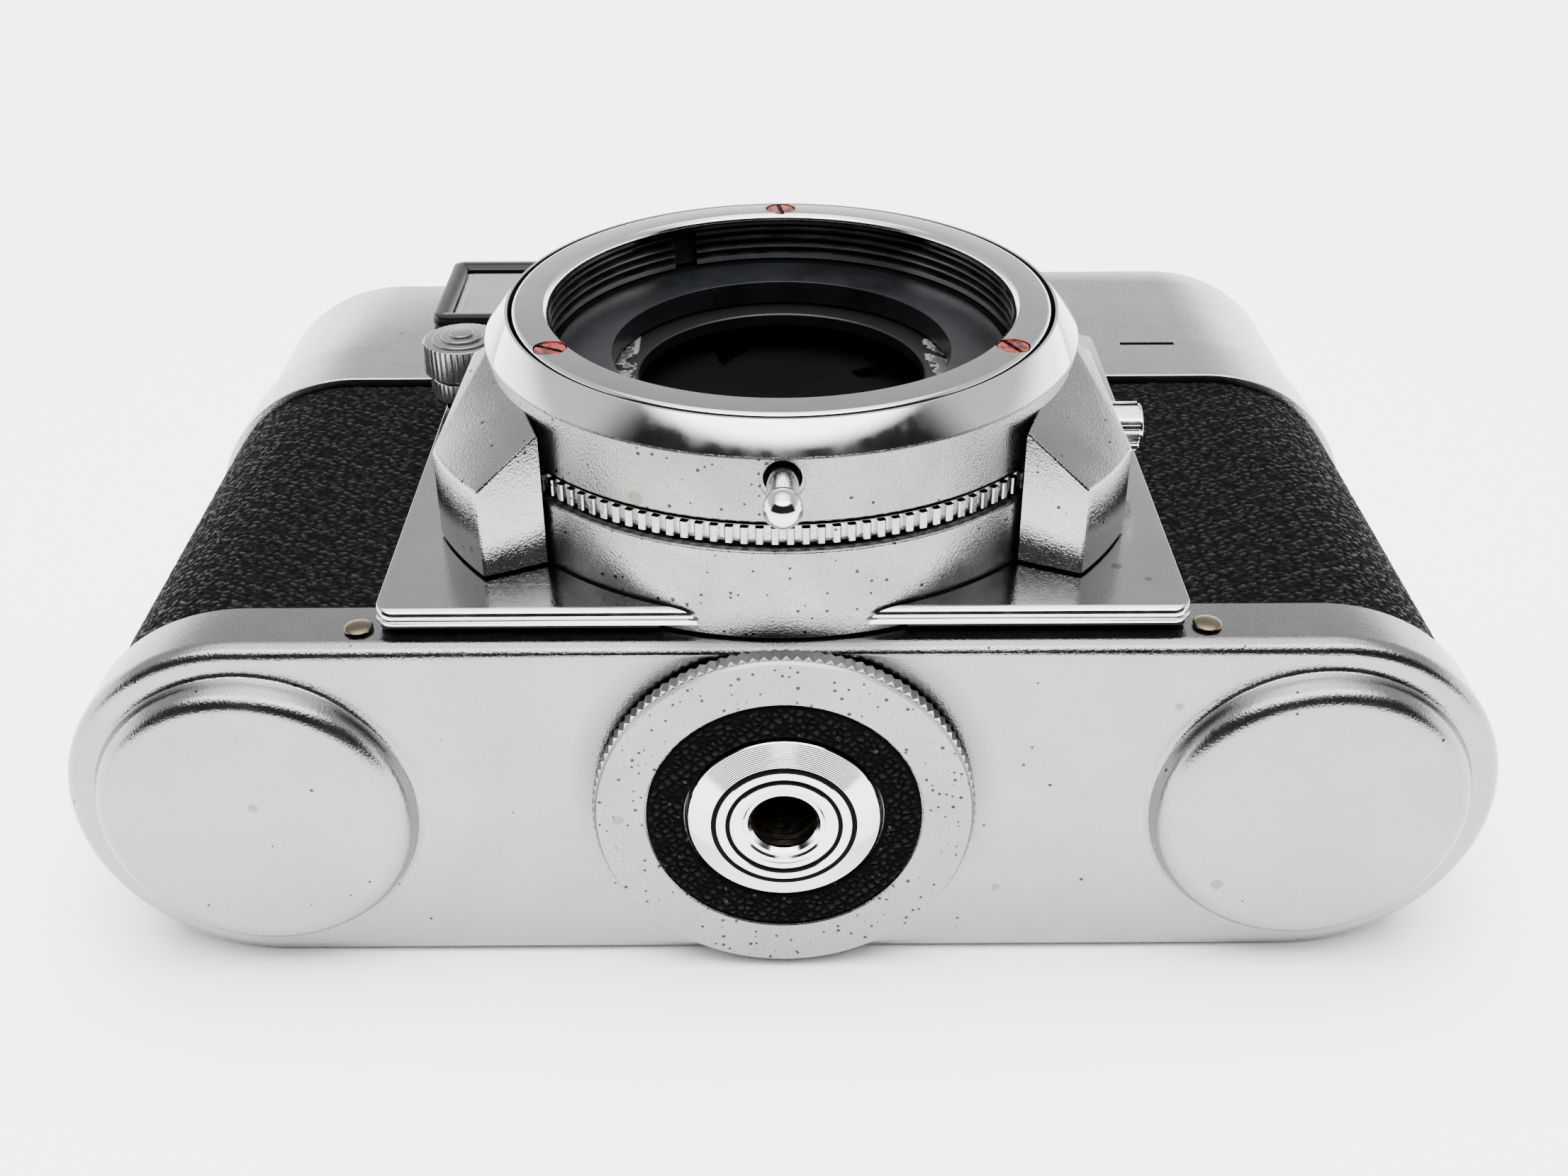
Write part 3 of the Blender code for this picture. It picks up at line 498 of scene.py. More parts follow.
def carve(mesh, tool, operation="DIFFERENCE"):
    """The mesh with another cut out of it, or joined to it."""
    holder = bpy.data.objects.new("work", mesh)
    cutter = bpy.data.objects.new("tool", tool)
    for item in (holder, cutter):
        bpy.context.scene.collection.objects.link(item)
    boolean = holder.modifiers.new("carve", "BOOLEAN")
    boolean.operation = operation
    boolean.object = cutter
    boolean.solver = "EXACT"
    bpy.context.view_layer.update()
    result = bpy.data.meshes.new_from_object(
        holder.evaluated_get(bpy.context.evaluated_depsgraph_get()))
    bpy.data.objects.remove(holder)
    bpy.data.objects.remove(cutter)
    return result


def round_edges(mesh, width, keep, segments=4, sharpness=35):
    """Rounds the sharp edges whose two ends both pass a test on their place."""
    shape = bmesh.new()
    shape.from_mesh(mesh)
    edges = [edge for edge in shape.edges
             if len(edge.link_faces) == 2 and edge.calc_face_angle() > math.radians(sharpness)
             and all(keep(vertex.co) for vertex in edge.verts)]
    bmesh.ops.bevel(shape, geom=edges, offset=width, segments=segments, profile=0.5,
                    affect="EDGES", clamp_overlap=True)
    shape.to_mesh(mesh)
    shape.free()
    return mesh


def spots(material, size, share):
    """1 in round spots of up to the given size, 0 elsewhere; share is how many cells have one."""
    nodes, links = material.node_tree.nodes, material.node_tree.links
    place = nodes.new("ShaderNodeTexCoord")
    cell = nodes.new("ShaderNodeTexVoronoi")
    cell.inputs["Scale"].default_value = 1 / (size * 2.2)
    links.new(place.outputs["Object"], cell.inputs["Vector"])
    parts = nodes.new("ShaderNodeSeparateColor")
    links.new(cell.outputs["Color"], parts.inputs["Color"])
    reach = span(material, parts.outputs["Red"], 0.0, 0.34, 1 - share, 1.0)
    inside = nodes.new("ShaderNodeMath")
    inside.operation = "SUBTRACT"
    links.new(reach, inside.inputs[0])
    links.new(cell.outputs["Distance"], inside.inputs[1])
    return span(material, inside.outputs[0], 0.0, 1.0, 0.0, 0.06)


def satin_chrome(name, tone=0.6, roughness=0.3, pits=0.0, stains=0.0, scratches=0.0, grain=1.0,
                 cloud=0.05):
    """Chrome over a blasted surface: a fine frost, and the marks that years of use leave."""
    material = plain_finish(name, (tone, tone, tone * 1.01), roughness, 1.0)
    drift = noise(material, 0.007, 4)
    colour = ramp(material, drift, (0.3, (tone * (1 - cloud), tone * (1 - cloud), tone * (1 - 1.2 * cloud))),
                  (0.7, (tone * (1 + cloud), tone * (1 + cloud), tone * (1 + cloud))))
    speckle = span(material, noise(material, 0.00014, 1), 0.0, 0.2 * min(grain, 2.0), 0.5, 0.66)
    colour = mixed(material, speckle, colour, (tone * 0.35, tone * 0.35, tone * 0.34))
    if stains:
        colour = mixed(material, span(material, spots(material, 0.0011, stains), 0.0, 0.55),
                       colour, (0.12, 0.095, 0.07))
    if pits:
        colour = mixed(material, span(material, spots(material, 0.00028, pits), 0.0, 0.9),
                       colour, (0.012, 0.011, 0.01))
    feed(material, colour, "Base Color")
    rough = span(material, noise(material, 0.003, 4), roughness * 0.88, roughness * 1.15, 0.3, 0.7)
    feed(material, rough, "Roughness")
    bump(material, noise(material, 0.0002, 2), 0.00002 * grain, 1.0)
    if scratches:
        line = noise(material, 0.0011, 2, (0.06, 1.0, 1.9))
        bump(material, span(material, line, 0, 1, 0.66, 0.7), 0.000004 * scratches, 1.0)
    return material


cover_chrome = satin_chrome("cover_chrome", 0.4, 0.2, stains=0.03, scratches=0.5)

cap = prism("cap", case_outline(0, CAP_SETBACK), SEAM, LEFT_DECK)
right_outline = (arc((END_CENTRE - CAP_SETBACK, END_RADIUS), END_RADIUS, -90, 90, 72)
                 + [(0.02, BODY_DEPTH), (0.02, 0)])
cap = carve(cap, prism("right_deck", right_outline, SEAM + 0.004, RIGHT_DECK), "UNION")
housing = block("housing", (-0.04, SEAM + 0.006, 0.0006), (0.0305, HOUSING_TOP, BODY_DEPTH - 0.0001))
cap = carve(cap, housing, "UNION")
cap = round_edges(cap, 0.0011, lambda place: place.y > LEFT_DECK - 1e-5)
cap = carve(cap, prism("cap_room", case_outline(SHEET, CAP_SETBACK), SEAM - 0.01, LEFT_DECK - SHEET))
cap = carve(cap, block("finder_room", (-0.0391, 0.04, 0.0015),
                       (0.0296, HOUSING_TOP - SHEET, BODY_DEPTH - 0.001)))
window_low, window_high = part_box("finder_window")
cap = carve(cap, block("window_hole", (window_low.x + 0.001, window_low.y + 0.001, 0.02),
                       (window_high.x - 0.001, window_high.y - 0.001, 0.05)))

band_loops = []
for inset, y in ((SHEET, TOP_LOW.y), (0.0001, TOP_LOW.y), (0, TOP_LOW.y + 0.0001),
                 (0, SEAM), (SHEET + CAP_SETBACK, SEAM)):
    band_loops.append([(x, y, z) for x, z in case_outline(inset)])
band = loft("band", band_loops, closed=True)


def tube(radius, low, high, centre, axis, steps=48):
    """A plain round bar along an axis through the centre."""
    return lathe("tube", [(0, high), (radius, high), (radius, low), (0, low)], centre, axis, steps)


def lathe(name, profile, centre=(0, 0, 0), axis="Z", steps=192):
    """Turns a profile of (radius, height) points about an axis through the centre."""
    rings, places = [], []
    for radius, height in profile:
        if radius < 1e-9:
            rings.append([len(places)] * steps)
            places.append((0.0, 0.0, height))
            continue
        rings.append(list(range(len(places), len(places) + steps)))
        for i in range(steps):
            angle = 2 * math.pi * i / steps
            places.append((radius * math.cos(angle), radius * math.sin(angle), height))
    faces = []
    closed = profile[0][0] > 1e-9
    for row in range(len(rings) if closed else len(rings) - 1):
        first, second = rings[row], rings[(row + 1) % len(rings)]
        for i in range(steps):
            j = (i + 1) % steps
            face = [first[i], first[j], second[j], second[i]]
            face = [v for k, v in enumerate(face) if v not in face[:k]]
            if len(face) > 2:
                faces.append(tuple(face))
    mesh = mesh_from(name, places, faces)
    turn = {"X": Matrix.Rotation(math.radians(90), 4, "Y"),
            "Y": Matrix.Rotation(math.radians(-90), 4, "X"), "Z": Matrix.Identity(4)}
    mesh.transform(Matrix.Translation(centre) @ turn[axis])
    return outward(mesh)


SLOT_LOW, SLOT_HIGH = (0.0384, 0.0327), (0.0445, 0.0335)
slot_tool = block("slot", (SLOT_LOW[0], SLOT_LOW[1], BODY_DEPTH - 0.0016),
                  (SLOT_HIGH[0], SLOT_HIGH[1], BODY_DEPTH + 0.01))
band = carve(band, slot_tool)
for hole, radius in (("take_up_spool", 0.0024), ("rewind_shaft", 0.0026),
                     ("rewind_button", 0.0014)):
    low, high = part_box(hole)
    centre = ((low.x + high.x) / 2, 0, (low.z + high.z) / 2)
    cap = carve(cap, tube(radius, 0.045, 0.07, centre, "Y"))
eye_low, eye_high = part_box("eyepiece_ring")
eye_centre = ((eye_low.x + eye_high.x) / 2, (eye_low.y + eye_high.y) / 2, 0)
cap = carve(cap, tube(0.0051, -0.01, 0.01, eye_centre, "Z"))
add_piece("top_cap", outward(cap), "camera_body", "top_cover", [cover_chrome], angle=30)
add_piece("top_band", outward(band), "camera_body", "top_cover", [cover_chrome], replaces=False)

# ------------------------------------------------------------------ finder
# A black enamelled frame screwed over the window in the top cover, the grey window itself,
# and a small eyepiece set into the rear wall.

gloss_black = grained("gloss_black", (0.002, 0.002, 0.0022), 0.24, 0.0, 0.0003, 0.000006)
shader_of(gloss_black).inputs["Specular IOR Level"].default_value = 0.3
window_glass = plain_finish("window_glass", (0.09, 0.095, 0.09), 0.16, 0.0)
feed(window_glass, ramp(window_glass, noise(window_glass, 0.02, 2), (0.3, (0.08, 0.085, 0.08)),
                        (0.7, (0.12, 0.125, 0.12))), "Base Color")
bump(window_glass, noise(window_glass, 0.004, 2), 0.00002)
shader_of(window_glass).inputs["Coat Weight"].default_value = 0.3


def rounded_rectangle(low, high, radius, inset=0.0, steps=10):
    """A rectangle's outline with round corners, drawn in by an inset."""
    x0, y0, x1, y1 = low[0] + inset, low[1] + inset, high[0] - inset, high[1] - inset
    radius = max(radius - inset, 0.00005)
    return (arc((x1 - radius, y0 + radius), radius, -90, 0, steps)
            + arc((x1 - radius, y1 - radius), radius, 0, 90, steps)
            + arc((x0 + radius, y1 - radius), radius, 90, 180, steps)
            + arc((x0 + radius, y0 + radius), radius, 180, 270, steps))


def frame_loops(low, high, radius, section):
    """Loops at each (inset, height) of a section round a rounded rectangle."""
    return [[(x, y, height) for x, y in rounded_rectangle(low, high, radius, inset)]
            for inset, height in section]


low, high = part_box("finder_bezel")
opening = window_low.x - low.x
section = [(0, low.z), (0, high.z - 0.0004), (0.00012, high.z - 0.0001), (0.0004, high.z),
           (opening - 0.0009, high.z), (opening - 0.0005, high.z - 0.00012),
           (opening - 0.0002, high.z - 0.0005), (opening - 0.0002, low.z)]
bezel = loft("bezel", frame_loops(low, high, 0.0014, section), closed=True)
add_piece("finder_frame", bezel, "camera_body", "finder_bezel", [gloss_black])
section = [(0, window_low.z), (0, window_high.z - 0.0002), (0.0001, window_high.z - 0.00012),
           (0.0005, window_high.z - 0.0001), (0.0006, window_high.z - 0.0002),
           (0.0008, window_high.z - 0.0002), (0.001, window_high.z)]
pane = loft("pane", frame_loops(window_low, window_high, 0.0007, section))
add_piece("finder_pane", pane, "camera_body", "finder_window", [window_glass])


def fillet(points, steps=5):
    """Rounds a section's corners: points are (radius, height) or (radius, height, fillet)."""
    result = []
    for index, point in enumerate(points):
        if len(point) == 2:
            result.append(point)
            continue
        corner = Vector(point[:2])
        back = Vector(points[index - 1][:2]) - corner
        ahead = Vector(points[(index + 1) % len(points)][:2]) - corner
        half = back.angle(ahead) / 2
        reach = point[2] / math.tan(half)
        start = corner + back.normalized() * reach
        end = corner + ahead.normalized() * reach
        centre = corner + (back.normalized() + ahead.normalized()).normalized() * point[2] / math.sin(half)
        first = math.atan2(start.y - centre.y, start.x - centre.x)
        turn = (math.atan2(end.y - centre.y, end.x - centre.x) - first + math.pi) % (2 * math.pi) - math.pi
        for step in range(steps + 1):
            angle = first + turn * step / steps
            result.append((centre.x + point[2] * math.cos(angle),
                           centre.y + point[2] * math.sin(angle)))
    return result


section = fillet([(0.0032, 0.0018), (0.0048, 0.0018), (0.0048, 0.0002, 0.0003),
                  (0.0032, 0.0002, 0.0005)])
add_piece("eyepiece_frame", lathe("eyepiece", section, eye_centre), "camera_body",
          "eyepiece_ring", [gloss_black])
lens_glass = plain_finish("lens_glass", (0.05, 0.055, 0.06), 0.05, 0.0)
feed(lens_glass, span(lens_glass, noise(lens_glass, 0.002, 2), 0.03, 0.09), "Roughness")
glass_low, glass_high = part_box("eyepiece_glass")
radius = (glass_high.x - glass_low.x) / 2
crown = [(0, glass_high.z), (radius, glass_high.z), (radius, glass_low.z + 0.0002)]
crown += [(radius * k, glass_low.z + 0.0002 * k * k) for k in (0.75, 0.5, 0.25)] + [(0, glass_low.z)]
add_piece("eyepiece_lens", lathe("eyepiece_lens", crown, eye_centre), "camera_body",
          "eyepiece_glass", [lens_glass])

# ------------------------------------------------------------------ accessory shoe
# Folded from plated sheet and screwed to the top of the finder housing.


def softened(node, width, segments=3):
    """A copy of a CAD piece with its sharp edges rounded."""
    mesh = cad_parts[node].data.copy()
    shape = bmesh.new()
    shape.from_mesh(mesh)
    bmesh.ops.remove_doubles(shape, verts=shape.verts, dist=1e-6)
    bmesh.ops.dissolve_limit(shape, angle_limit=math.radians(1), verts=shape.verts,
                             edges=shape.edges)
    shape.to_mesh(mesh)
    shape.free()
    return round_edges(mesh, width, lambda place: True, segments)


add_piece("hot_foot_shoe", softened("accessory_shoe", 0.0002), "camera_body", "accessory_shoe",
          [cover_chrome])

# ------------------------------------------------------------------ front panel
# Thick plated brass with a polished rolled edge and a thin lip under it. The barrel stands in
# its round opening and breaks through its lower edge.

polished_chrome = plain_finish("polished_chrome", (0.78, 0.78, 0.79), 0.09, 1.0)
feed(polished_chrome, span(polished_chrome, noise(polished_chrome, 0.0012, 3), 0.06, 0.16, 0.3, 0.7),
     "Roughness")
bump(polished_chrome, noise(polished_chrome, 0.0009, 2), 0.000004)
# Near-black painted shade for the undercut under the front panel's lip.
undercut_shade = plain_finish("undercut_shade", (0.006, 0.005, 0.004), 0.6, 0.0)
panel_chrome = satin_chrome("panel_chrome", 0.42, 0.13, stains=0.03, scratches=0.8, grain=0.6)

low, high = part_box("front_panel")
ROLL = 0.00075
UNDERCUT = 0.0011
roll = [(ROLL * (1.1 - math.sin(math.radians(a))), high.z - ROLL * (1 - math.cos(math.radians(a))))
        for a in range(90, -1, -10)]
lip = high.z - ROLL - 0.0006
section = [(UNDERCUT, low.z), (UNDERCUT, lip - 0.0001), (0.0002, lip - 0.00005), (0, lip), (0, lip + 0.00025),
           (0.00006, lip + 0.00032), (0.00026, lip + 0.00038), (0.00022, lip + 0.0005)]
section += roll
panel = loft("panel", [[(x + math.copysign(0.75 * inset, x), y, height)
                        for x, y in rounded_rectangle(low, high, 0.0017, inset)]
                       for inset, height in section])
barrel_low, barrel_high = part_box("lower_barrel")
BARREL_RADIUS = barrel_high.x
panel = carve(panel, tube(BARREL_RADIUS + 0.0003, 0.0, 0.1, (0, 0, 0), "Z", 256))
release_low, release_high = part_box("release_cap")
RELEASE_CENTRE = ((release_low.x + release_high.x) / 2, (release_low.y + release_high.y) / 2, 0)
panel = carve(panel, tube(0.0022, 0.0, 0.1, RELEASE_CENTRE, "Z"))
# Faces under the lip, the undercut and the underside, get undercut_shade: painted shade for the dark gap
# below the rolled edge.
for polygon in panel.polygons:
    polygon.material_index = 0 if polygon.center.z > high.z - 1e-5 else 1
    if polygon.center.z < lip - 0.00002:
        polygon.material_index = 2
add_piece("front_plate", panel, "camera_body", "front_panel",
          [panel_chrome, polished_chrome, undercut_shade], angle=40)

# ------------------------------------------------------------------ lower barrel
# The drum that carries the setting ring: blasted, chromed and speckled with age.

barrel_frost = satin_chrome("barrel_frost", 0.29, 0.24, pits=0.3, stains=0.1, scratches=0.6,
                            grain=2.0, cloud=0.2)
section = fillet([(0.0224, barrel_high.z), (BARREL_RADIUS, barrel_high.z, 0.0002),
                  (BARREL_RADIUS, barrel_low.z, 0.0001), (0.0224, barrel_low.z)])
add_piece("barrel_drum", lathe("barrel", section, steps=256), "camera_body", "lower_barrel",
          [barrel_frost])

# ------------------------------------------------------------------ serrated ring
# A brass ring, chromed, with square teeth milled across its edge for the fingers.


def tooth_ring_tree():
    """Geometry nodes: one tooth, repeated round a circle about Z, as real mesh."""
    tree = bpy.data.node_groups.new("tooth_ring", "GeometryNodeTree")
    sockets = {}
    for name, kind in (("Tooth", "NodeSocketObject"), ("Teeth", "NodeSocketInt"),
                       ("Radius", "NodeSocketFloat"), ("Finish", "NodeSocketMaterial")):
        sockets[name] = tree.interface.new_socket(name, in_out="INPUT", socket_type=kind).identifier
    tree.interface.new_socket("Geometry", in_out="OUTPUT", socket_type="NodeSocketGeometry")
    add, link = tree.nodes.new, tree.links.new
    entry, leave = add("NodeGroupInput"), add("NodeGroupOutput")
    circle, tooth = add("GeometryNodeMeshCircle"), add("GeometryNodeObjectInfo")
    number, share = add("GeometryNodeInputIndex"), add("ShaderNodeMath")
    angle, turn = add("ShaderNodeMath"), add("ShaderNodeCombineXYZ")
    place, real = add("GeometryNodeInstanceOnPoints"), add("GeometryNodeRealizeInstances")
    finish = add("GeometryNodeSetMaterial")
    share.operation = "DIVIDE"
    angle.operation = "MULTIPLY"
    angle.inputs[1].default_value = 2 * math.pi
    link(entry.outputs["Tooth"], tooth.inputs["Object"])
    link(entry.outputs["Teeth"], circle.inputs["Vertices"])
    link(entry.outputs["Radius"], circle.inputs["Radius"])
    link(number.outputs[0], share.inputs[0])
    link(entry.outputs["Teeth"], share.inputs[1])
    link(share.outputs[0], angle.inputs[0])
    link(angle.outputs[0], turn.inputs["Z"])
    link(circle.outputs["Mesh"], place.inputs["Points"])
    link(tooth.outputs["Geometry"], place.inputs["Instance"])
    link(turn.outputs[0], place.inputs["Rotation"])
    link(place.outputs[0], real.inputs[0])
    link(real.outputs[0], finish.inputs["Geometry"])
    link(entry.outputs["Finish"], finish.inputs["Material"])
    link(finish.outputs[0], leave.inputs[0])
    return tree, sockets


TOOTH_TREE, TOOTH_SOCKETS = tooth_ring_tree()


def teeth(tooth_mesh, count, radius, material, centre=(0, 0, 0), axis="Z"):
    """A ring of teeth as one mesh, turned to its axis and put at its centre."""
    tooth = bpy.data.objects.new("tooth", tooth_mesh)
    holder = bpy.data.objects.new("teeth", bpy.data.meshes.new("teeth"))
    for item in (tooth, holder):
        bpy.context.scene.collection.objects.link(item)
    repeat = holder.modifiers.new("repeat", "NODES")
    repeat.node_group = TOOTH_TREE
    repeat[TOOTH_SOCKETS["Tooth"]] = tooth
    repeat[TOOTH_SOCKETS["Teeth"]] = count
    repeat[TOOTH_SOCKETS["Radius"]] = radius
    repeat[TOOTH_SOCKETS["Finish"]] = material
    bpy.context.view_layer.update()
    mesh = bpy.data.meshes.new_from_object(
        holder.evaluated_get(bpy.context.evaluated_depsgraph_get()))
    bpy.data.objects.remove(holder)
    bpy.data.objects.remove(tooth)
    turn = {"X": Matrix.Rotation(math.radians(90), 4, "Y"),
            "Y": Matrix.Rotation(math.radians(-90), 4, "X"), "Z": Matrix.Identity(4)}
    mesh.transform(Matrix.Translation(centre) @ turn[axis])
    return mesh


def tooth_block(outline, low, high):
    """One tooth: an outline in the plane of its ring, between two heights."""
    return loft("tooth", [[(x, y, height) for x, y in outline] for height in (low, high)])


ring_chrome = satin_chrome("ring_chrome", 0.42, 0.16, pits=0.05, grain=1.2)
low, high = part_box("serrated_ring")
RING_RADIUS = high.x
ring_root = RING_RADIUS - 0.00055
section = fillet([(0.0225, high.z), (ring_root, high.z, 0.0001), (ring_root, low.z, 0.0001),
                  (0.0225, low.z)])
add_piece("setting_ring", lathe("setting_ring", section, steps=256), "serrated_ring",
          "serrated_ring", [ring_chrome])
RING_TEETH = 134
half = 0.00036
step = RING_RADIUS - ring_root
tooth_outline = [(-0.0003, -half), (step - 0.00012, -half), (step, -half + 0.00012),
                 (step, half - 0.00012), (step - 0.00012, half), (-0.0003, half)]
ring_teeth = teeth(tooth_block(tooth_outline, low.z + 0.00012, high.z - 0.00005), RING_TEETH,
                   ring_root, ring_chrome)
add_piece("setting_ring_teeth", ring_teeth, "serrated_ring", "serrated_ring", [ring_chrome],
          replaces=False)

# ------------------------------------------------------------------ mount housing
# The upper barrel and its two shoulders are one casting, frosted outside, with a polished
# bevel round the top. The shoulders are shaped to clear the setting ring.

housing_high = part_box("mount_housing")[1]
HOUSING_LOW = 0.04525
BEVEL_LOW = 0.05125
BEVEL_RADIUS = 0.0249
HOUSING_RADIUS = 0.02714
PIN_HEIGHT = 0.0493
housing_frost = satin_chrome("housing_frost", 0.25, 0.26, pits=0.3, stains=0.06, grain=2.4, cloud=0.22)
horn_frost = satin_chrome("horn_frost", 0.37, 0.14, pits=0.08, stains=0.08, scratches=0.6,
                          grain=1.6, cloud=0.1)
bevel_polish = plain_finish("bevel_polish", (0.74, 0.74, 0.75), 0.08, 1.0)
feed(bevel_polish, span(bevel_polish, noise(bevel_polish, 0.002, 3), 0.05, 0.13, 0.3, 0.7), "Roughness")
# Near-black painted shade for recesses: inside and under the mount barrel, in the lock pin's hole and in the
# tripod bush's grooves.
recess_shade = grained("recess_shade", (0.004, 0.004, 0.004), 0.7, 0.0, 0.0003, 0.00002)
shader_of(recess_shade).inputs["Specular IOR Level"].default_value = 0.1

profile = [(BEVEL_RADIUS, housing_high.z), (BEVEL_RADIUS + 0.00025, housing_high.z),
           (HOUSING_RADIUS - 0.00006, BEVEL_LOW + 0.00006), (HOUSING_RADIUS, BEVEL_LOW - 0.00006),
           (HOUSING_RADIUS - 0.0001, BEVEL_LOW - 0.0002),
           (HOUSING_RADIUS - 0.00012, HOUSING_LOW + 0.0002),
           (HOUSING_RADIUS - 0.0003, HOUSING_LOW), (0.0213, HOUSING_LOW), (0.0213, 0.049),
           (BEVEL_RADIUS, 0.049)]
housing = lathe("housing", profile, steps=256)


def shoulder(side):
    """One shoulder: upright walls round a plan, and a top that slopes outwards and forwards."""
    outline = [(0.0205, -0.0193), (0.0255, -0.02166)]
    outline += arc((0, 0), 0.0336, -40, -24.6, 10)
    outline += [(0.0277, -0.0051), (0.0258, -0.0051)]
    panel_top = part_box("front_panel")[1].z
    loops = [[(side * x, y, height) for x, y in outline] for height in (panel_top + 0.0003, 0.052)]
    mesh = loft("shoulder", loops)
    low_point = Vector((side * 0.0255, -0.0217, 0.0454))
    out_point = Vector((side * 0.0312, -0.013, 0.0453))
    high_point = Vector((side * 0.0203, -0.018, 0.05015))
    normal = (out_point - low_point).cross(high_point - low_point)
    if normal.z < 0:
        normal.negate()
    shape = bmesh.new()
    shape.from_mesh(mesh)
    cut = bmesh.ops.bisect_plane(shape, geom=shape.verts[:] + shape.edges[:] + shape.faces[:],
                                 plane_co=low_point, plane_no=normal, clear_outer=True)
    rim = [item for item in cut["geom_cut"] if isinstance(item, bmesh.types.BMEdge)]
    bmesh.ops.contextual_create(shape, geom=rim)
    bmesh.ops.recalc_face_normals(shape, faces=shape.faces)
    shape.to_mesh(mesh)
    shape.free()
    return round_edges(mesh, 0.00022, lambda place: place.z > panel_top + 0.001, 2, 25)


shoulders = [shoulder(side) for side in (-1, 1)]
slot_profile = [(0.0215, 0.03), (0.0215, HOUSING_LOW), (0.0281, HOUSING_LOW), (0.0281, 0.03)]
for mesh in shoulders:
    trimmed = carve(mesh, lathe("slot", slot_profile, steps=256))
    trimmed = carve(trimmed, tube(HOUSING_RADIUS - 0.0004, 0.0, 0.1, (0, 0, 0), "Z", 256))
    side_name = "left" if trimmed.vertices[0].co.x < 0 else "right"
    add_piece("shoulder_" + side_name, outward(trimmed), "camera_body", "mount_housing",
              [horn_frost], replaces=False, angle=30)
housing = carve(housing, tube(0.0016, -0.05, -0.015, (0, 0, PIN_HEIGHT), "Y"))
housing = carve(housing, tube(0.0019, -0.05, -0.0268, (0, 0, PIN_HEIGHT - 0.0001), "Y"))
# Faces inside and under the barrel and in the lock pin's hole get recess_shade, painted shade.
for polygon in housing.polygons:
    centre = polygon.center
    distance = math.hypot(centre.x, centre.y)
    if centre.z > BEVEL_LOW + 0.00004 and polygon.normal.z > 0.3:
        polygon.material_index = 1
    elif distance < HOUSING_RADIUS - 0.0005 and polygon.normal.z < 0.5:
        polygon.material_index = 2
    else:
        polygon.material_index = 0
add_piece("mount_barrel", housing, "camera_body", "mount_housing",
          [housing_frost, bevel_polish, recess_shade], angle=30)

# ------------------------------------------------------------------ mount ring and screws
# The flat ring that the lens seats on. Its inside is threaded and blackened, and three slotted
# screws, lacquered red, hold it down.

ring_low, ring_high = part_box("mount_ring")
MOUNT_BORE = 0.0212
mount_satin = satin_chrome("mount_satin", 0.4, 0.18, scratches=0.4, grain=0.5)
thread_black = plain_finish("thread_black", (0.03, 0.03, 0.03), 0.3, 0.6)
feed(thread_black, ramp(thread_black, noise(thread_black, 0.0025, 3), (0.35, (0.003, 0.003, 0.003)),
                        (0.8, (0.03, 0.03, 0.03))), "Base Color")

THREAD_PITCH = 0.0009
inside = []
height = ring_low.z + 0.0003
while height < ring_high.z - 0.0009:
    inside += [(MOUNT_BORE, height), (MOUNT_BORE, height + 0.0002),
               (MOUNT_BORE + 0.0005, height + 0.0004), (MOUNT_BORE + 0.0005, height + 0.0005)]
    height += THREAD_PITCH
lip = ring_high.z - 0.0006
profile = [(MOUNT_BORE, ring_low.z)] + inside
profile += [(MOUNT_BORE, height), (MOUNT_BORE, lip - 0.0004), (MOUNT_BORE + 0.0003, lip - 0.0003),
            (MOUNT_BORE + 0.0003, lip - 0.00012), (MOUNT_BORE, lip), (MOUNT_BORE, lip + 0.0001),
            (MOUNT_BORE + 0.00012, lip + 0.00035), (MOUNT_BORE + 0.00045, ring_high.z)]
profile += [(ring_high.x - 0.0005 + 0.0005 * math.sin(math.radians(a)),
             ring_high.z - 0.0005 + 0.0005 * math.cos(math.radians(a))) for a in range(0, 91, 15)]
profile += [(ring_high.x, ring_low.z)]
seat = lathe("seat", list(reversed(profile)), steps=256)
screw_places = []
for number in (1, 2, 3):
    low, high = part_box(f"mount_screw_{number}")
    screw_places.append(((low.x + high.x) / 2, (low.y + high.y) / 2, 0))
for x, y, _ in screw_places:
    seat = carve(seat, tube(0.00148, ring_high.z - 0.0011, 0.06, (x, y, 0), "Z", 64))
notch = block("notch", (-0.0012, MOUNT_BORE - 0.002, ring_low.z - 0.001),
              (0.0012, MOUNT_BORE + 0.0009, ring_high.z - 0.0012))
notch.transform(Matrix.Rotation(math.radians(27), 4, "Z"))
seat = carve(seat, notch)
seat = carve(seat, tube(0.0016, -0.05, -0.015, (0, 0, PIN_HEIGHT), "Y"))
for polygon in seat.polygons:
    centre = polygon.center
    distance = math.hypot(centre.x, centre.y)
    if distance < MOUNT_BORE + 0.0012 and centre.z < ring_high.z - 0.0009:
        crest = distance < MOUNT_BORE + 0.0001 and abs(polygon.normal.z) < 0.5
        polygon.material_index = 2 if crest else 1
    elif abs(polygon.normal.z) < 0.97:
        polygon.material_index = 2
add_piece("mount_seat", seat, "camera_body", "mount_ring", [mount_satin, thread_black, bevel_polish],
          angle=30)

red_lacquer = plain_finish("red_lacquer", (0.11, 0.006, 0.001), 0.35, 0.0)
chip = span(red_lacquer, noise(red_lacquer, 0.0006, 3), 0.0, 1.0, 0.46, 0.54)
feed(red_lacquer, mixed(red_lacquer, chip, (0.14, 0.0045, 0.0004), (0.008, 0.002, 0.001)), "Base Color")
feed(red_lacquer, span(red_lacquer, noise(red_lacquer, 0.0004, 3), 0.25, 0.6, 0.3, 0.7), "Roughness")
bump(red_lacquer, noise(red_lacquer, 0.0003, 3), 0.00006)
# Dark brown-black painted shade for the inside of the screws' slots.
slot_shade = grained("slot_shade", (0.006, 0.003, 0.002), 0.6, 0.0, 0.0002, 0.00002)

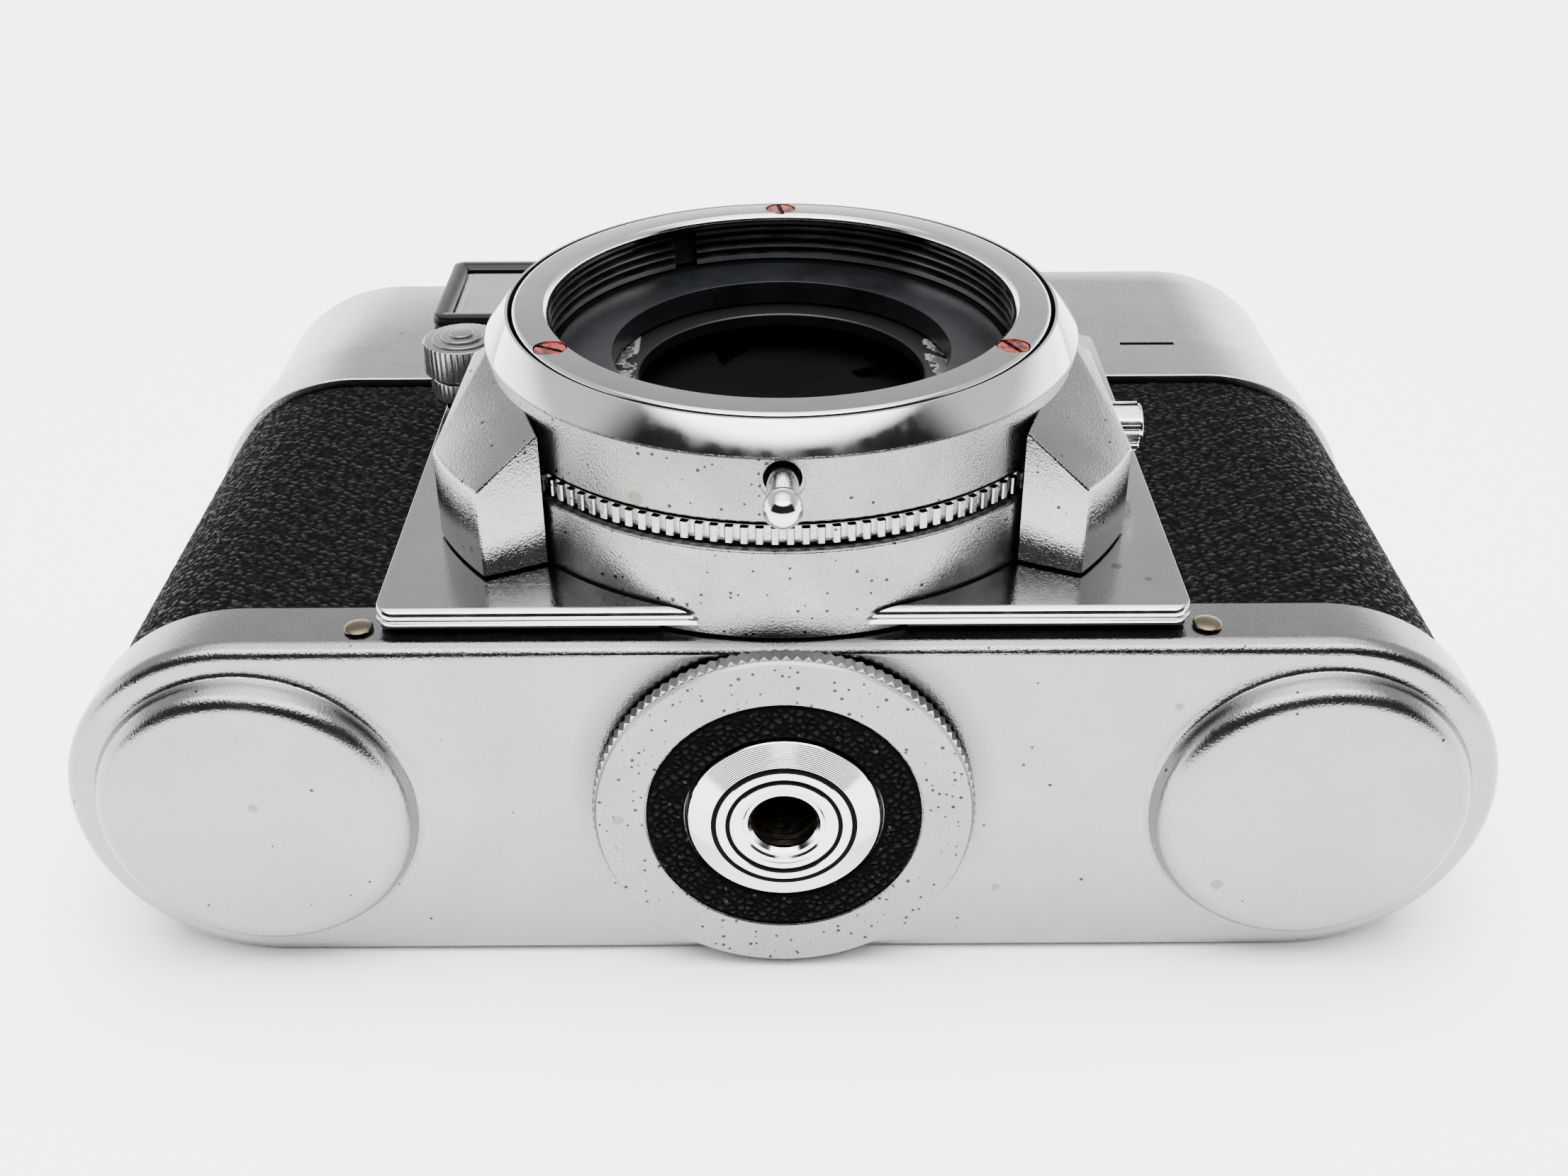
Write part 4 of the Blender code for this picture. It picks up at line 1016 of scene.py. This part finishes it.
for number, (place, slot_angle) in enumerate(zip(screw_places, (10, 62, 28)), 1):
    top = ring_high.z - 0.0001
    profile = fillet([(0, top), (0.0014, top, 0.0001), (0.0014, ring_high.z - 0.0009),
                      (0.0006, ring_high.z - 0.001), (0.0006, 0.047), (0, 0.047)])
    screw = lathe("screw", profile, place, steps=64)
    cutter = block("cutter", (-0.00022, -0.002, top - 0.00045), (0.00022, 0.002, top + 0.001))
    cutter.transform(Matrix.Translation(place) @ Matrix.Rotation(math.radians(slot_angle), 4, "Z"))
    screw = carve(screw, cutter)
    # Faces inside each slot get slot_shade, painted shade.
    for polygon in screw.polygons:
        inside_slot = polygon.center.z < top - 0.00012 and polygon.center.z > top - 0.0006
        polygon.material_index = 1 if inside_slot else 0
    add_piece(f"red_screw_{number}", screw, "camera_body", f"mount_screw_{number}",
              [red_lacquer, slot_shade], angle=30)

# ------------------------------------------------------------------ flange and throat
# Blackened rings down inside the mount; the throat's paint is rubbed through to bright metal
# in two crescents beside the opening.

flange_black = grained("flange_black", (0.0022, 0.0025, 0.003), 0.34, 0.0, 0.0005, 0.00001, 0.6)
shader_of(flange_black).inputs["Specular IOR Level"].default_value = 0.3
low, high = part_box("flange_plate")
section = fillet([(0.0157, high.z, 0.0001), (high.x, high.z, 0.0001), (high.x, low.z),
                  (0.0157, low.z)])
add_piece("flange", lathe("flange", section), "camera_body", "flange_plate", [flange_black])

throat_worn = plain_finish("throat_worn", (0.012, 0.012, 0.013), 0.4, 0.0)
throat_nodes, throat_links = throat_worn.node_tree.nodes, throat_worn.node_tree.links
place = throat_nodes.new("ShaderNodeTexCoord")
apart = throat_nodes.new("ShaderNodeSeparateXYZ")
throat_links.new(place.outputs["Object"], apart.inputs[0])
across = throat_nodes.new("ShaderNodeMath")
across.operation = "ABSOLUTE"
throat_links.new(apart.outputs["X"], across.inputs[0])
patch = span(throat_worn, across.outputs[0], 0.0, 1.0, 0.0136, 0.0142)
rub = span(throat_worn, noise(throat_worn, 0.0016, 3), 0.0, 1.0, 0.48, 0.53)
share = throat_nodes.new("ShaderNodeMath")
share.operation = "MULTIPLY"
throat_links.new(patch, share.inputs[0])
throat_links.new(rub, share.inputs[1])
feed(throat_worn, mixed(throat_worn, share.outputs[0], (0.0015, 0.0015, 0.0016), (0.32, 0.32, 0.3)),
     "Base Color")
feed(throat_worn, share.outputs[0], "Metallic")
low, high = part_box("throat_ring")
section = [(0.01335, low.z), (0.01335, high.z - 0.00012), (0.01347, high.z), (high.x, high.z),
           (high.x, low.z)]
add_piece("throat", lathe("throat", section), "camera_body", "throat_ring", [throat_worn])

# ------------------------------------------------------------------ lock pin
# A turned and polished pin with a ball end, pushed in to let the lens go.

pin_low, pin_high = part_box("lock_pin")
ball = (pin_high.x - pin_low.x) / 2
shaft = 0.0013
ball_centre = -pin_low.y - ball
dome = [(ball * math.cos(math.radians(a)), ball_centre + ball * math.sin(math.radians(a)))
        for a in range(84, -40, -6)]
profile = [(0, ball_centre + ball)] + dome + [(shaft, ball_centre - 0.0012), (shaft, 0.0237), (0, 0.0237)]
pin = lathe("pin", profile, (0, 0, 0), "Z", 96)
pin.transform(Matrix.Translation((0, 0, PIN_HEIGHT)) @ Matrix.Rotation(math.radians(90), 4, "X"))
add_piece("lock_pin_turned", outward(pin), "lock_pin", "lock_pin", [bevel_polish])

# ------------------------------------------------------------------ flash socket and stud
# A small knurled coaxial socket screwed into the barrel's side, and a brass stud above it.

low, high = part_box("sync_socket")
socket_centre = (0, (low.y + high.y) / 2, (low.z + high.z) / 2)
profile = fillet([(0, 0.0302), (0.0012, 0.0302), (0.0012, high.x, 0.0001), (0.0021, high.x, 0.0001),
                  (0.0021, 0.0294), (0.0019, 0.0292), (0.0019, low.x), (0, low.x)])
add_piece("flash_socket", lathe("socket", profile, socket_centre, "X", 96), "camera_body",
          "sync_socket", [polished_chrome])
ridge = [(-0.0002, -0.00016), (0.00018, 0), (-0.0002, 0.00016)]
socket_teeth = teeth(tooth_block(ridge, 0.0296, high.x - 0.0003), 34, 0.0021, polished_chrome,
                     socket_centre, "X")
add_piece("flash_socket_knurl", socket_teeth, "camera_body", "sync_socket", [polished_chrome],
          replaces=False)
stud_brass = grained("stud_brass", (0.68, 0.5, 0.2), 0.25, 1.0, 0.0002, 0.00001, 0.3)
low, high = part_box("contact_stud")
profile = fillet([(0, high.x), (0.0015, high.x, 0.0003), (0.0015, low.x), (0, low.x)])
add_piece("brass_stud", lathe("stud", profile, (0, (low.y + high.y) / 2, (low.z + high.z) / 2),
                              "X", 64), "camera_body", "contact_stud", [stud_brass])

# ------------------------------------------------------------------ shutter release
# Turned cap with three low steps on top and a straight knurl; the collar under it is the same
# piece of bar, necked between the two.

release_satin = satin_chrome("release_satin", 0.34, 0.24, pits=0.03, grain=0.4)
cap_radius = (release_high.x - release_low.x) / 2
cap_body = cap_radius - 0.00022
top = release_high.z
profile = fillet([(0, top), (0.0012, top, 0.0001), (0.0012, top - 0.00025), (0.0021, top - 0.00025, 0.0001),
                  (0.0021, top - 0.0005), (0.003, top - 0.0005, 0.0001), (0.003, top - 0.0007),
                  (cap_body, top - 0.0007, 0.0001), (cap_body, 0.0408, 0.0001), (0.0018, 0.0408),
                  (0.0018, release_low.z), (0, release_low.z)])
add_piece("release_button", lathe("button", profile, RELEASE_CENTRE, steps=128), "release",
          "release_cap", [release_satin])
ridge = [(-0.0003, -0.0003), (0.00022, 0), (-0.0003, 0.0003)]
cap_teeth = teeth(tooth_block(ridge, 0.04085, top - 0.00075), 40, cap_body, release_satin,
                  RELEASE_CENTRE)
add_piece("release_knurl", cap_teeth, "release", "release_cap", [release_satin], replaces=False)
low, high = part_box("release_collar")
collar_body = (high.x - low.x) / 2 - 0.0002
profile = fillet([(0.0021, high.z), (collar_body, high.z, 0.0001), (collar_body, low.z, 0.0001),
                  (0.0021, low.z)])
add_piece("release_neck", lathe("neck", profile, RELEASE_CENTRE, steps=128), "release",
          "release_collar", [release_satin])
ridge = [(-0.0003, -0.00024), (0.0002, 0), (-0.0003, 0.00024)]
neck_teeth = teeth(tooth_block(ridge, low.z + 0.0001, high.z - 0.0001), 38, collar_body,
                   release_satin, RELEASE_CENTRE)
add_piece("release_neck_knurl", neck_teeth, "release", "release_collar", [release_satin],
          replaces=False)

# ------------------------------------------------------------------ deck controls
# Winding knob over the frame counter's dial, rewind knob, and the button that frees the film
# for rewinding. The knobs are turned brass, plated, with a diamond-fine straight knurl.

knob_satin = satin_chrome("knob_satin", 0.5, 0.22, scratches=0.4, grain=0.6)


def knob(name, node, body, count):
    """A domed knob with a knurled rim, a chamfer and a polished slotted screw, turned about Y."""
    low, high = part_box(node)
    centre = ((low.x + high.x) / 2, 0, (low.z + high.z) / 2)
    rim = (high.x - low.x) / 2 - 0.0003
    top, foot = high.y, low.y
    profile = fillet([(0.0024, top - 0.0006), (rim - 0.0032, top - 0.0006),
                      (rim - 0.0028, top - 0.0001, 0.0002),
                      (rim - 0.0006, top, 0.0003), (rim, top - 0.0009, 0.0002), (rim, foot, 0.0003),
                      (0.0024, foot)])
    add_piece(name, lathe(name, profile, centre, "Y", 192), body, node, [knob_satin])
    ridge = [(-0.0004, -0.00028), (0.0003, 0), (-0.0004, 0.00028)]
    knurl = teeth(tooth_block(ridge, foot + 0.0004, top - 0.0011), count, rim, knob_satin, centre, "Y")
    add_piece(name + "_knurl", knurl, body, node, [knob_satin], replaces=False)
    hub = lathe(name + "_screw", fillet([(0, top - 0.0002), (0.0021, top - 0.0002, 0.0002),
                                         (0.0021, top - 0.0009), (0, top - 0.0009)]), centre, "Y", 64)
    hub = carve(hub, block("slot", (centre[0] - 0.0003, top - 0.0005, centre[2] - 0.003),
                           (centre[0] + 0.0003, top + 0.001, centre[2] + 0.003)))
    add_piece(name + "_screw", hub, body, node, [polished_chrome], replaces=False)


knob("winding_knob", "advance_knob", "winding_spindle", 84)
knob("rewinding_knob", "rewind_knob", "rewind", 88)
low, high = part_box("frame_counter")
centre = ((low.x + high.x) / 2, 0, (low.z + high.z) / 2)
radius = (high.x - low.x) / 2
profile = fillet([(0.0023, high.y), (radius - 0.0001, high.y, 0.0002), (radius - 0.0001, low.y, 0.0001),
                  (0.0023, low.y)])
add_piece("counter_dial", lathe("dial", profile, centre, "Y"), "frame_counter", "frame_counter",
          [knob_satin])
mark = [(-0.0003, -0.00006), (0.00006, -0.00006), (0.00006, 0.00006), (-0.0003, 0.00006)]
marks = teeth(tooth_block(mark, low.y + 0.0003, high.y - 0.0002), 40, radius - 0.0001, gloss_black,
              centre, "Y")
add_piece("counter_marks", marks, "frame_counter", "frame_counter", [gloss_black], replaces=False)
low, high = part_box("rewind_button")
centre = ((low.x + high.x) / 2, 0, (low.z + high.z) / 2)
profile = fillet([(0, high.y), (0.0018, high.y, 0.0003), (0.0018, high.y - 0.0008, 0.0001),
                  (0.0011, high.y - 0.0008), (0.0011, low.y), (0, low.y)])
add_piece("rewind_release", lathe("button", profile, centre, "Y", 64), "rewind_button",
          "rewind_button", [polished_chrome])

# ------------------------------------------------------------------ base cover
# Deep drawn base plate, satin chromed, with rounded edges, two round feet pressed out of it
# and a shallow dish round the locking wheel.

base_low, base_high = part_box("base_cover")
BASE_FACE = -0.02856
BASE_RIM = base_high.y
EDGE_ROUND = 0.0015
SHADE_RING_CENTRE, SHADE_RING_INNER, SHADE_RING_OUTER = 0.0192, 0.0163, 0.0191
base_chrome = satin_chrome("base_chrome", 0.3, 0.18, pits=0.02, stains=0.05, scratches=0.5, grain=1.2)
# A soft dark ring painted on the base face round the locking wheel: painted shade, darkest at the wheel's
# edge, stronger above the wheel than below, fading outwards.
shade_ring_nodes, shade_ring_links = base_chrome.node_tree.nodes, base_chrome.node_tree.links
from_centre = shade_ring_nodes.new("ShaderNodeVectorMath")
from_centre.operation = "DISTANCE"
from_centre.inputs[1].default_value = (0.0, BASE_FACE, SHADE_RING_CENTRE)
shade_ring_place = shade_ring_nodes.new("ShaderNodeTexCoord")
shade_ring_links.new(shade_ring_place.outputs["Object"], from_centre.inputs[0])
upper = shade_ring_nodes.new("ShaderNodeSeparateXYZ")
shade_ring_links.new(shade_ring_place.outputs["Object"], upper.inputs[0])
near = span(base_chrome, from_centre.outputs["Value"], 0.85, 0.0, SHADE_RING_INNER, SHADE_RING_OUTER)
shaded = shade_ring_nodes.new("ShaderNodeMath")
shaded.operation = "MULTIPLY"
shade_ring_links.new(near, shaded.inputs[0])
shade_ring_links.new(span(base_chrome, upper.outputs["Z"], 0.3, 1.0, 0.004, 0.022), shaded.inputs[1])
plain = shader_of(base_chrome).inputs["Base Color"].links[0].from_socket
feed(base_chrome, mixed(base_chrome, shaded.outputs[0], plain, (0.13, 0.135, 0.135)), "Base Color")
loops = [(SHEET, BASE_RIM), (0.0001, BASE_RIM), (0, BASE_RIM - 0.0001)]
loops += [(EDGE_ROUND * (1 - math.cos(math.radians(a))),
           BASE_FACE + EDGE_ROUND * (1 - math.sin(math.radians(a)))) for a in range(0, 91, 10)]
outer = [[(x, y, z) for x, z in case_outline(inset)] for inset, y in loops]
base = loft("base", outer)
base = carve(base, prism("base_room", case_outline(SHEET), BASE_FACE + 0.0013, BASE_RIM + 0.01))
wheel_low, wheel_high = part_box("lock_wheel")
WHEEL_CENTRE = (0, 0, (wheel_low.z + wheel_high.z) / 2)
base = carve(base, tube(0.0102, BASE_FACE - 0.01, BASE_FACE + 0.01, WHEEL_CENTRE, "Y", 96))
DISH_INNER, DISH_OUTER, DISH_DEPTH = 0.0170, 0.0200, 0.00014
dish = [(0, BASE_FACE - 0.002), (DISH_OUTER, BASE_FACE - 0.002)]
dish += [(DISH_OUTER + (DISH_INNER - DISH_OUTER) * k / 12,
          BASE_FACE + DISH_DEPTH * (1 - math.cos(math.pi * k / 12)) / 2) for k in range(13)]
dish += [(0, BASE_FACE + DISH_DEPTH)]
base = carve(base, lathe("dish", dish, WHEEL_CENTRE, "Y", 192))
add_piece("base_pan", outward(base), "back_and_base", "base_cover", [base_chrome], angle=30)
foot_face = base_low.y
screw_nickel = grained("screw_nickel", (0.17, 0.135, 0.1), 0.22, 1.0, 0.0002, 0.00001, 0.3)
for name, x in (("left", -0.0465), ("right", 0.0465)):
    profile = [(0, foot_face), (0.0118, foot_face)]
    profile += [(0.0118 + 0.0022 * math.sin(math.radians(a)),
                 foot_face + 0.0022 * (1 - math.cos(math.radians(a)))) for a in range(8, 84, 8)]
    profile += [(0.01408, BASE_FACE - 0.0003), (0.01425, BASE_FACE - 0.00012), (0.0146, BASE_FACE - 0.00001),
                (0.0146, BASE_FACE + 0.0006), (0, BASE_FACE + 0.0006)]
    add_piece("foot_" + name, lathe("foot", profile, (x, 0, 0.0174), "Y", 256), "back_and_base",
              "base_cover", [base_chrome], replaces=False, angle=50)
DOME_HEIGHT = 0.0003
for name in ("flange_screw_left", "flange_screw_right"):
    low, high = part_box(name)
    centre = ((low.x + high.x) / 2, (low.y + high.y) / 2, 0)
    radius = (high.x - low.x) / 2
    crown = high.z - DOME_HEIGHT
    profile = [(0, crown)] + [(radius * math.sin(math.radians(a)),
                               crown - DOME_HEIGHT * (1 - math.cos(math.radians(a))))
                              for a in range(10, 91, 10)]
    profile += [(0.0006, crown - DOME_HEIGHT), (0.0006, low.z), (0, low.z)]
    add_piece(name + "_dome", lathe("dome", profile, centre, steps=64), "back_and_base", name,
              [screw_nickel])

# ------------------------------------------------------------------ locking wheel
# Turned to lock the back on: a knurled disc with a leather inlay, round the polished bush
# that takes a tripod's screw. The bush is fixed; the wheel turns about it.

wheel_satin = satin_chrome("wheel_satin", 0.27, 0.25, pits=0.7, stains=0.01, scratches=0.8,
                           grain=1.5, cloud=0.08)
knurl_satin = satin_chrome("knurl_satin", 0.6, 0.36, pits=0.05, grain=0.8)
knurl_place = knurl_satin.node_tree.nodes.new("ShaderNodeTexCoord")
knurl_height = knurl_satin.node_tree.nodes.new("ShaderNodeSeparateXYZ")
knurl_satin.node_tree.links.new(knurl_place.outputs["Object"], knurl_height.inputs[0])
knurl_metal = shader_of(knurl_satin).inputs["Base Color"].links[0].from_socket
# The knurl and bevel are painted dark grey towards the bottom of the wheel, fully below Z 19 mm and gone
# above 29 mm: painted shade.
feed(knurl_satin, mixed(knurl_satin, span(knurl_satin, knurl_height.outputs["Z"], 0.0, 1.0, 0.019, 0.029),
                        (0.16, 0.16, 0.165), knurl_metal), "Base Color")
WHEEL_RADIUS = (wheel_high.x - wheel_low.x) / 2
WHEEL_FACE = wheel_low.y
WHEEL_BACK = -0.02885
TOOTH_DEPTH = 0.00025
WHEEL_TEETH = 113
BEVEL_WIDTH, BEVEL_DEPTH, BEVEL_SLOPE = 0.00018, 0.0003, 1.6
LEATHER_RADIUS = 0.0121
BUSH_RADIUS = 0.00845
rim = WHEEL_RADIUS - TOOTH_DEPTH
inlay_floor = WHEEL_FACE + 0.0005
profile = [(BUSH_RADIUS + 0.0003, wheel_high.y), (0.0099, wheel_high.y), (0.0099, WHEEL_BACK),
           (rim, WHEEL_BACK), (rim, WHEEL_FACE + BEVEL_DEPTH),
           (rim - BEVEL_WIDTH, WHEEL_FACE), (LEATHER_RADIUS + 0.00025, WHEEL_FACE),
            (LEATHER_RADIUS + 0.0001, WHEEL_FACE + 0.0001), (LEATHER_RADIUS + 0.0001, inlay_floor),
            (BUSH_RADIUS + 0.0003, inlay_floor)]
disc = lathe("wheel", profile, WHEEL_CENTRE, "Y", 256)
for polygon in disc.polygons:
    from_axis = math.hypot(polygon.center.x, polygon.center.z - WHEEL_CENTRE[2])
    on_bevel = from_axis > rim - BEVEL_WIDTH and polygon.center.y < WHEEL_FACE + BEVEL_DEPTH
    polygon.material_index = 1 if on_bevel else 0
add_piece("wheel_disc", disc, "lock_wheel", "lock_wheel", [wheel_satin, knurl_satin], angle=30)
half = math.pi * WHEEL_RADIUS / WHEEL_TEETH
ridge = [(-0.0003, -half), (0.0, -half), (TOOTH_DEPTH, 0), (0.0, half), (-0.0003, half)]
slant = [[(x, y, WHEEL_BACK - 0.0001) for x, y in ridge],
         [(x, y, WHEEL_FACE + BEVEL_DEPTH + max(x, 0) * BEVEL_SLOPE) for x, y in ridge],
         [(x - 0.0006, y, WHEEL_FACE + BEVEL_DEPTH) for x, y in ridge]]
knurl = teeth(loft("tooth", slant), WHEEL_TEETH, rim, knurl_satin, WHEEL_CENTRE, "Y")
add_piece("wheel_knurl", knurl, "lock_wheel", "lock_wheel", [knurl_satin], replaces=False)


def inlay_mesh(inner, outer, y, thickness, centre):
    """A flat ring of leather with its grain raised on the side that faces -Y."""
    around, outwards = 360, 22
    radii = np.linspace(inner, outer, outwards + 1)
    angles = np.arange(around) * 2 * math.pi / around
    grid_a, grid_r = np.meshgrid(angles, radii, indexing="ij")
    u, v = grid_r * np.cos(grid_a), grid_r * np.sin(grid_a)
    first, second = cells(u / 0.00075 + 90, v / 0.00065 + 90, 5)
    relief = np.clip((second - first) * 2.4, 0, 1)
    edge = np.clip(np.minimum(grid_r - inner, outer - grid_r) / 0.0003, 0, 1)
    height = y + 0.00024 * (1 - relief * edge) + 0.0001 * (1 - edge)
    places = np.stack([u + centre[0], height, v + centre[2]], -1).reshape(-1, 3)
    columns = outwards + 1
    lining = [(r * math.cos(a) + centre[0], y + thickness, r * math.sin(a) + centre[2])
              for a in angles for r in (inner, outer)]
    places = np.concatenate([places, lining])
    count = around * columns
    faces = []
    for i in range(around):
        j = (i + 1) % around
        for k in range(outwards):
            faces.append((i * columns + k, i * columns + k + 1, j * columns + k + 1, j * columns + k))
        a, b = count + 2 * i, count + 2 * j
        faces.append((a, b, b + 1, a + 1))
        faces.append((i * columns, j * columns, b, a))
        faces.append((i * columns + outwards, a + 1, b + 1, j * columns + outwards))
    mesh = mesh_from("inlay", places, faces)
    keep_relief(mesh, np.concatenate([(relief * edge * 0.8).ravel(), np.zeros(2 * around)]))
    return outward(mesh)


inlay_leather = leather_finish("inlay_leather")
dust = span(inlay_leather, spots(inlay_leather, 0.0003, 0.25), 0.0, 0.5)
skin = shader_of(inlay_leather).inputs["Base Color"].links[0].from_socket
feed(inlay_leather, mixed(inlay_leather, dust, skin, (0.05, 0.045, 0.035)), "Base Color")
inlay = inlay_mesh(BUSH_RADIUS + 0.00035, LEATHER_RADIUS, WHEEL_FACE - 0.0001, 0.0005, WHEEL_CENTRE)
add_piece("wheel_inlay", inlay, "lock_wheel", "wheel_leather", [inlay_leather], angle=60)

bush_low, bush_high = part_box("tripod_bush")
SOCKET_RADIUS = 0.0029
face = bush_low.y
# Brown thread of the tripod bush, darkened almost to black as painted shade in the socket's hole.
thread_brown_and_shade = plain_finish("thread_brown_and_shade", (0.03, 0.02, 0.01), 0.4, 0.8)
feed(thread_brown_and_shade, ramp(thread_brown_and_shade, noise(thread_brown_and_shade, 0.0008, 3), (0.4, (0.002, 0.0015, 0.001)),
                        (0.8, (0.05, 0.038, 0.022))), "Base Color")
profile = [(SOCKET_RADIUS + 0.0002, bush_high.y)]
height = bush_high.y - 0.0004
while height > face + 0.0012:
    profile += [(SOCKET_RADIUS + 0.0002, height), (SOCKET_RADIUS, height - 0.0004)]
    height -= 0.0008
profile += [(SOCKET_RADIUS, face + 0.0007), (SOCKET_RADIUS + 0.0003, face + 0.00035),
            (SOCKET_RADIUS + 0.0006, face + 0.0003), (SOCKET_RADIUS + 0.0008, face + 0.00012)]
# Two flat lands, each with its inner and outer radius and where the groove outside it ends.
LANDS = ((0.00405, 0.0047, 0.00513), (0.00516, 0.0059, 0.00638))
for inner, outer, groove_end in LANDS:
    profile += [(inner - 0.00002, face + 0.00004), (inner + 0.00006, face), (outer - 0.00006, face),
                (outer + 0.00002, face + 0.00005), (outer + 0.00008, face + 0.0003),
                (outer + 0.0002, face + 0.0004), (outer + 0.00034, face + 0.0003)]
CONE_STEPS, CONE_START, CONE_DROP = 14, 0.0064, 0.00098
cone_width = (BUSH_RADIUS - CONE_START) / CONE_STEPS
for k in range(CONE_STEPS):
    radius, drop = CONE_START + cone_width * k, 0.0001 + CONE_DROP * k / CONE_STEPS
    profile += [(radius, face + drop), (radius + cone_width * 0.5, face + drop + 0.00001)]
profile += [(BUSH_RADIUS, face + 0.0011), (BUSH_RADIUS, -0.0257), (0.005, -0.0257),
            (0.005, bush_high.y)]
bush = lathe("bush", profile, WHEEL_CENTRE, "Y", 256)
# The grooves outside the lands get recess_shade, painted shade.
for polygon in bush.polygons:
    centre = polygon.center
    distance = math.hypot(centre.x, centre.z - WHEEL_CENTRE[2])
    groove = any(outer < distance < groove_end for inner, outer, groove_end in LANDS)
    # The socket's thread gets thread_brown_and_shade: its brown, darkened as painted shade.
    if distance < SOCKET_RADIUS + 0.00025 and centre.y > face + 0.0008:
        polygon.material_index = 1
    elif groove and centre.y > face + 0.00015:
        polygon.material_index = 2
add_piece("tripod_socket", bush, "back_and_base", "tripod_bush", [polished_chrome, thread_brown_and_shade, recess_shade],
          angle=25)
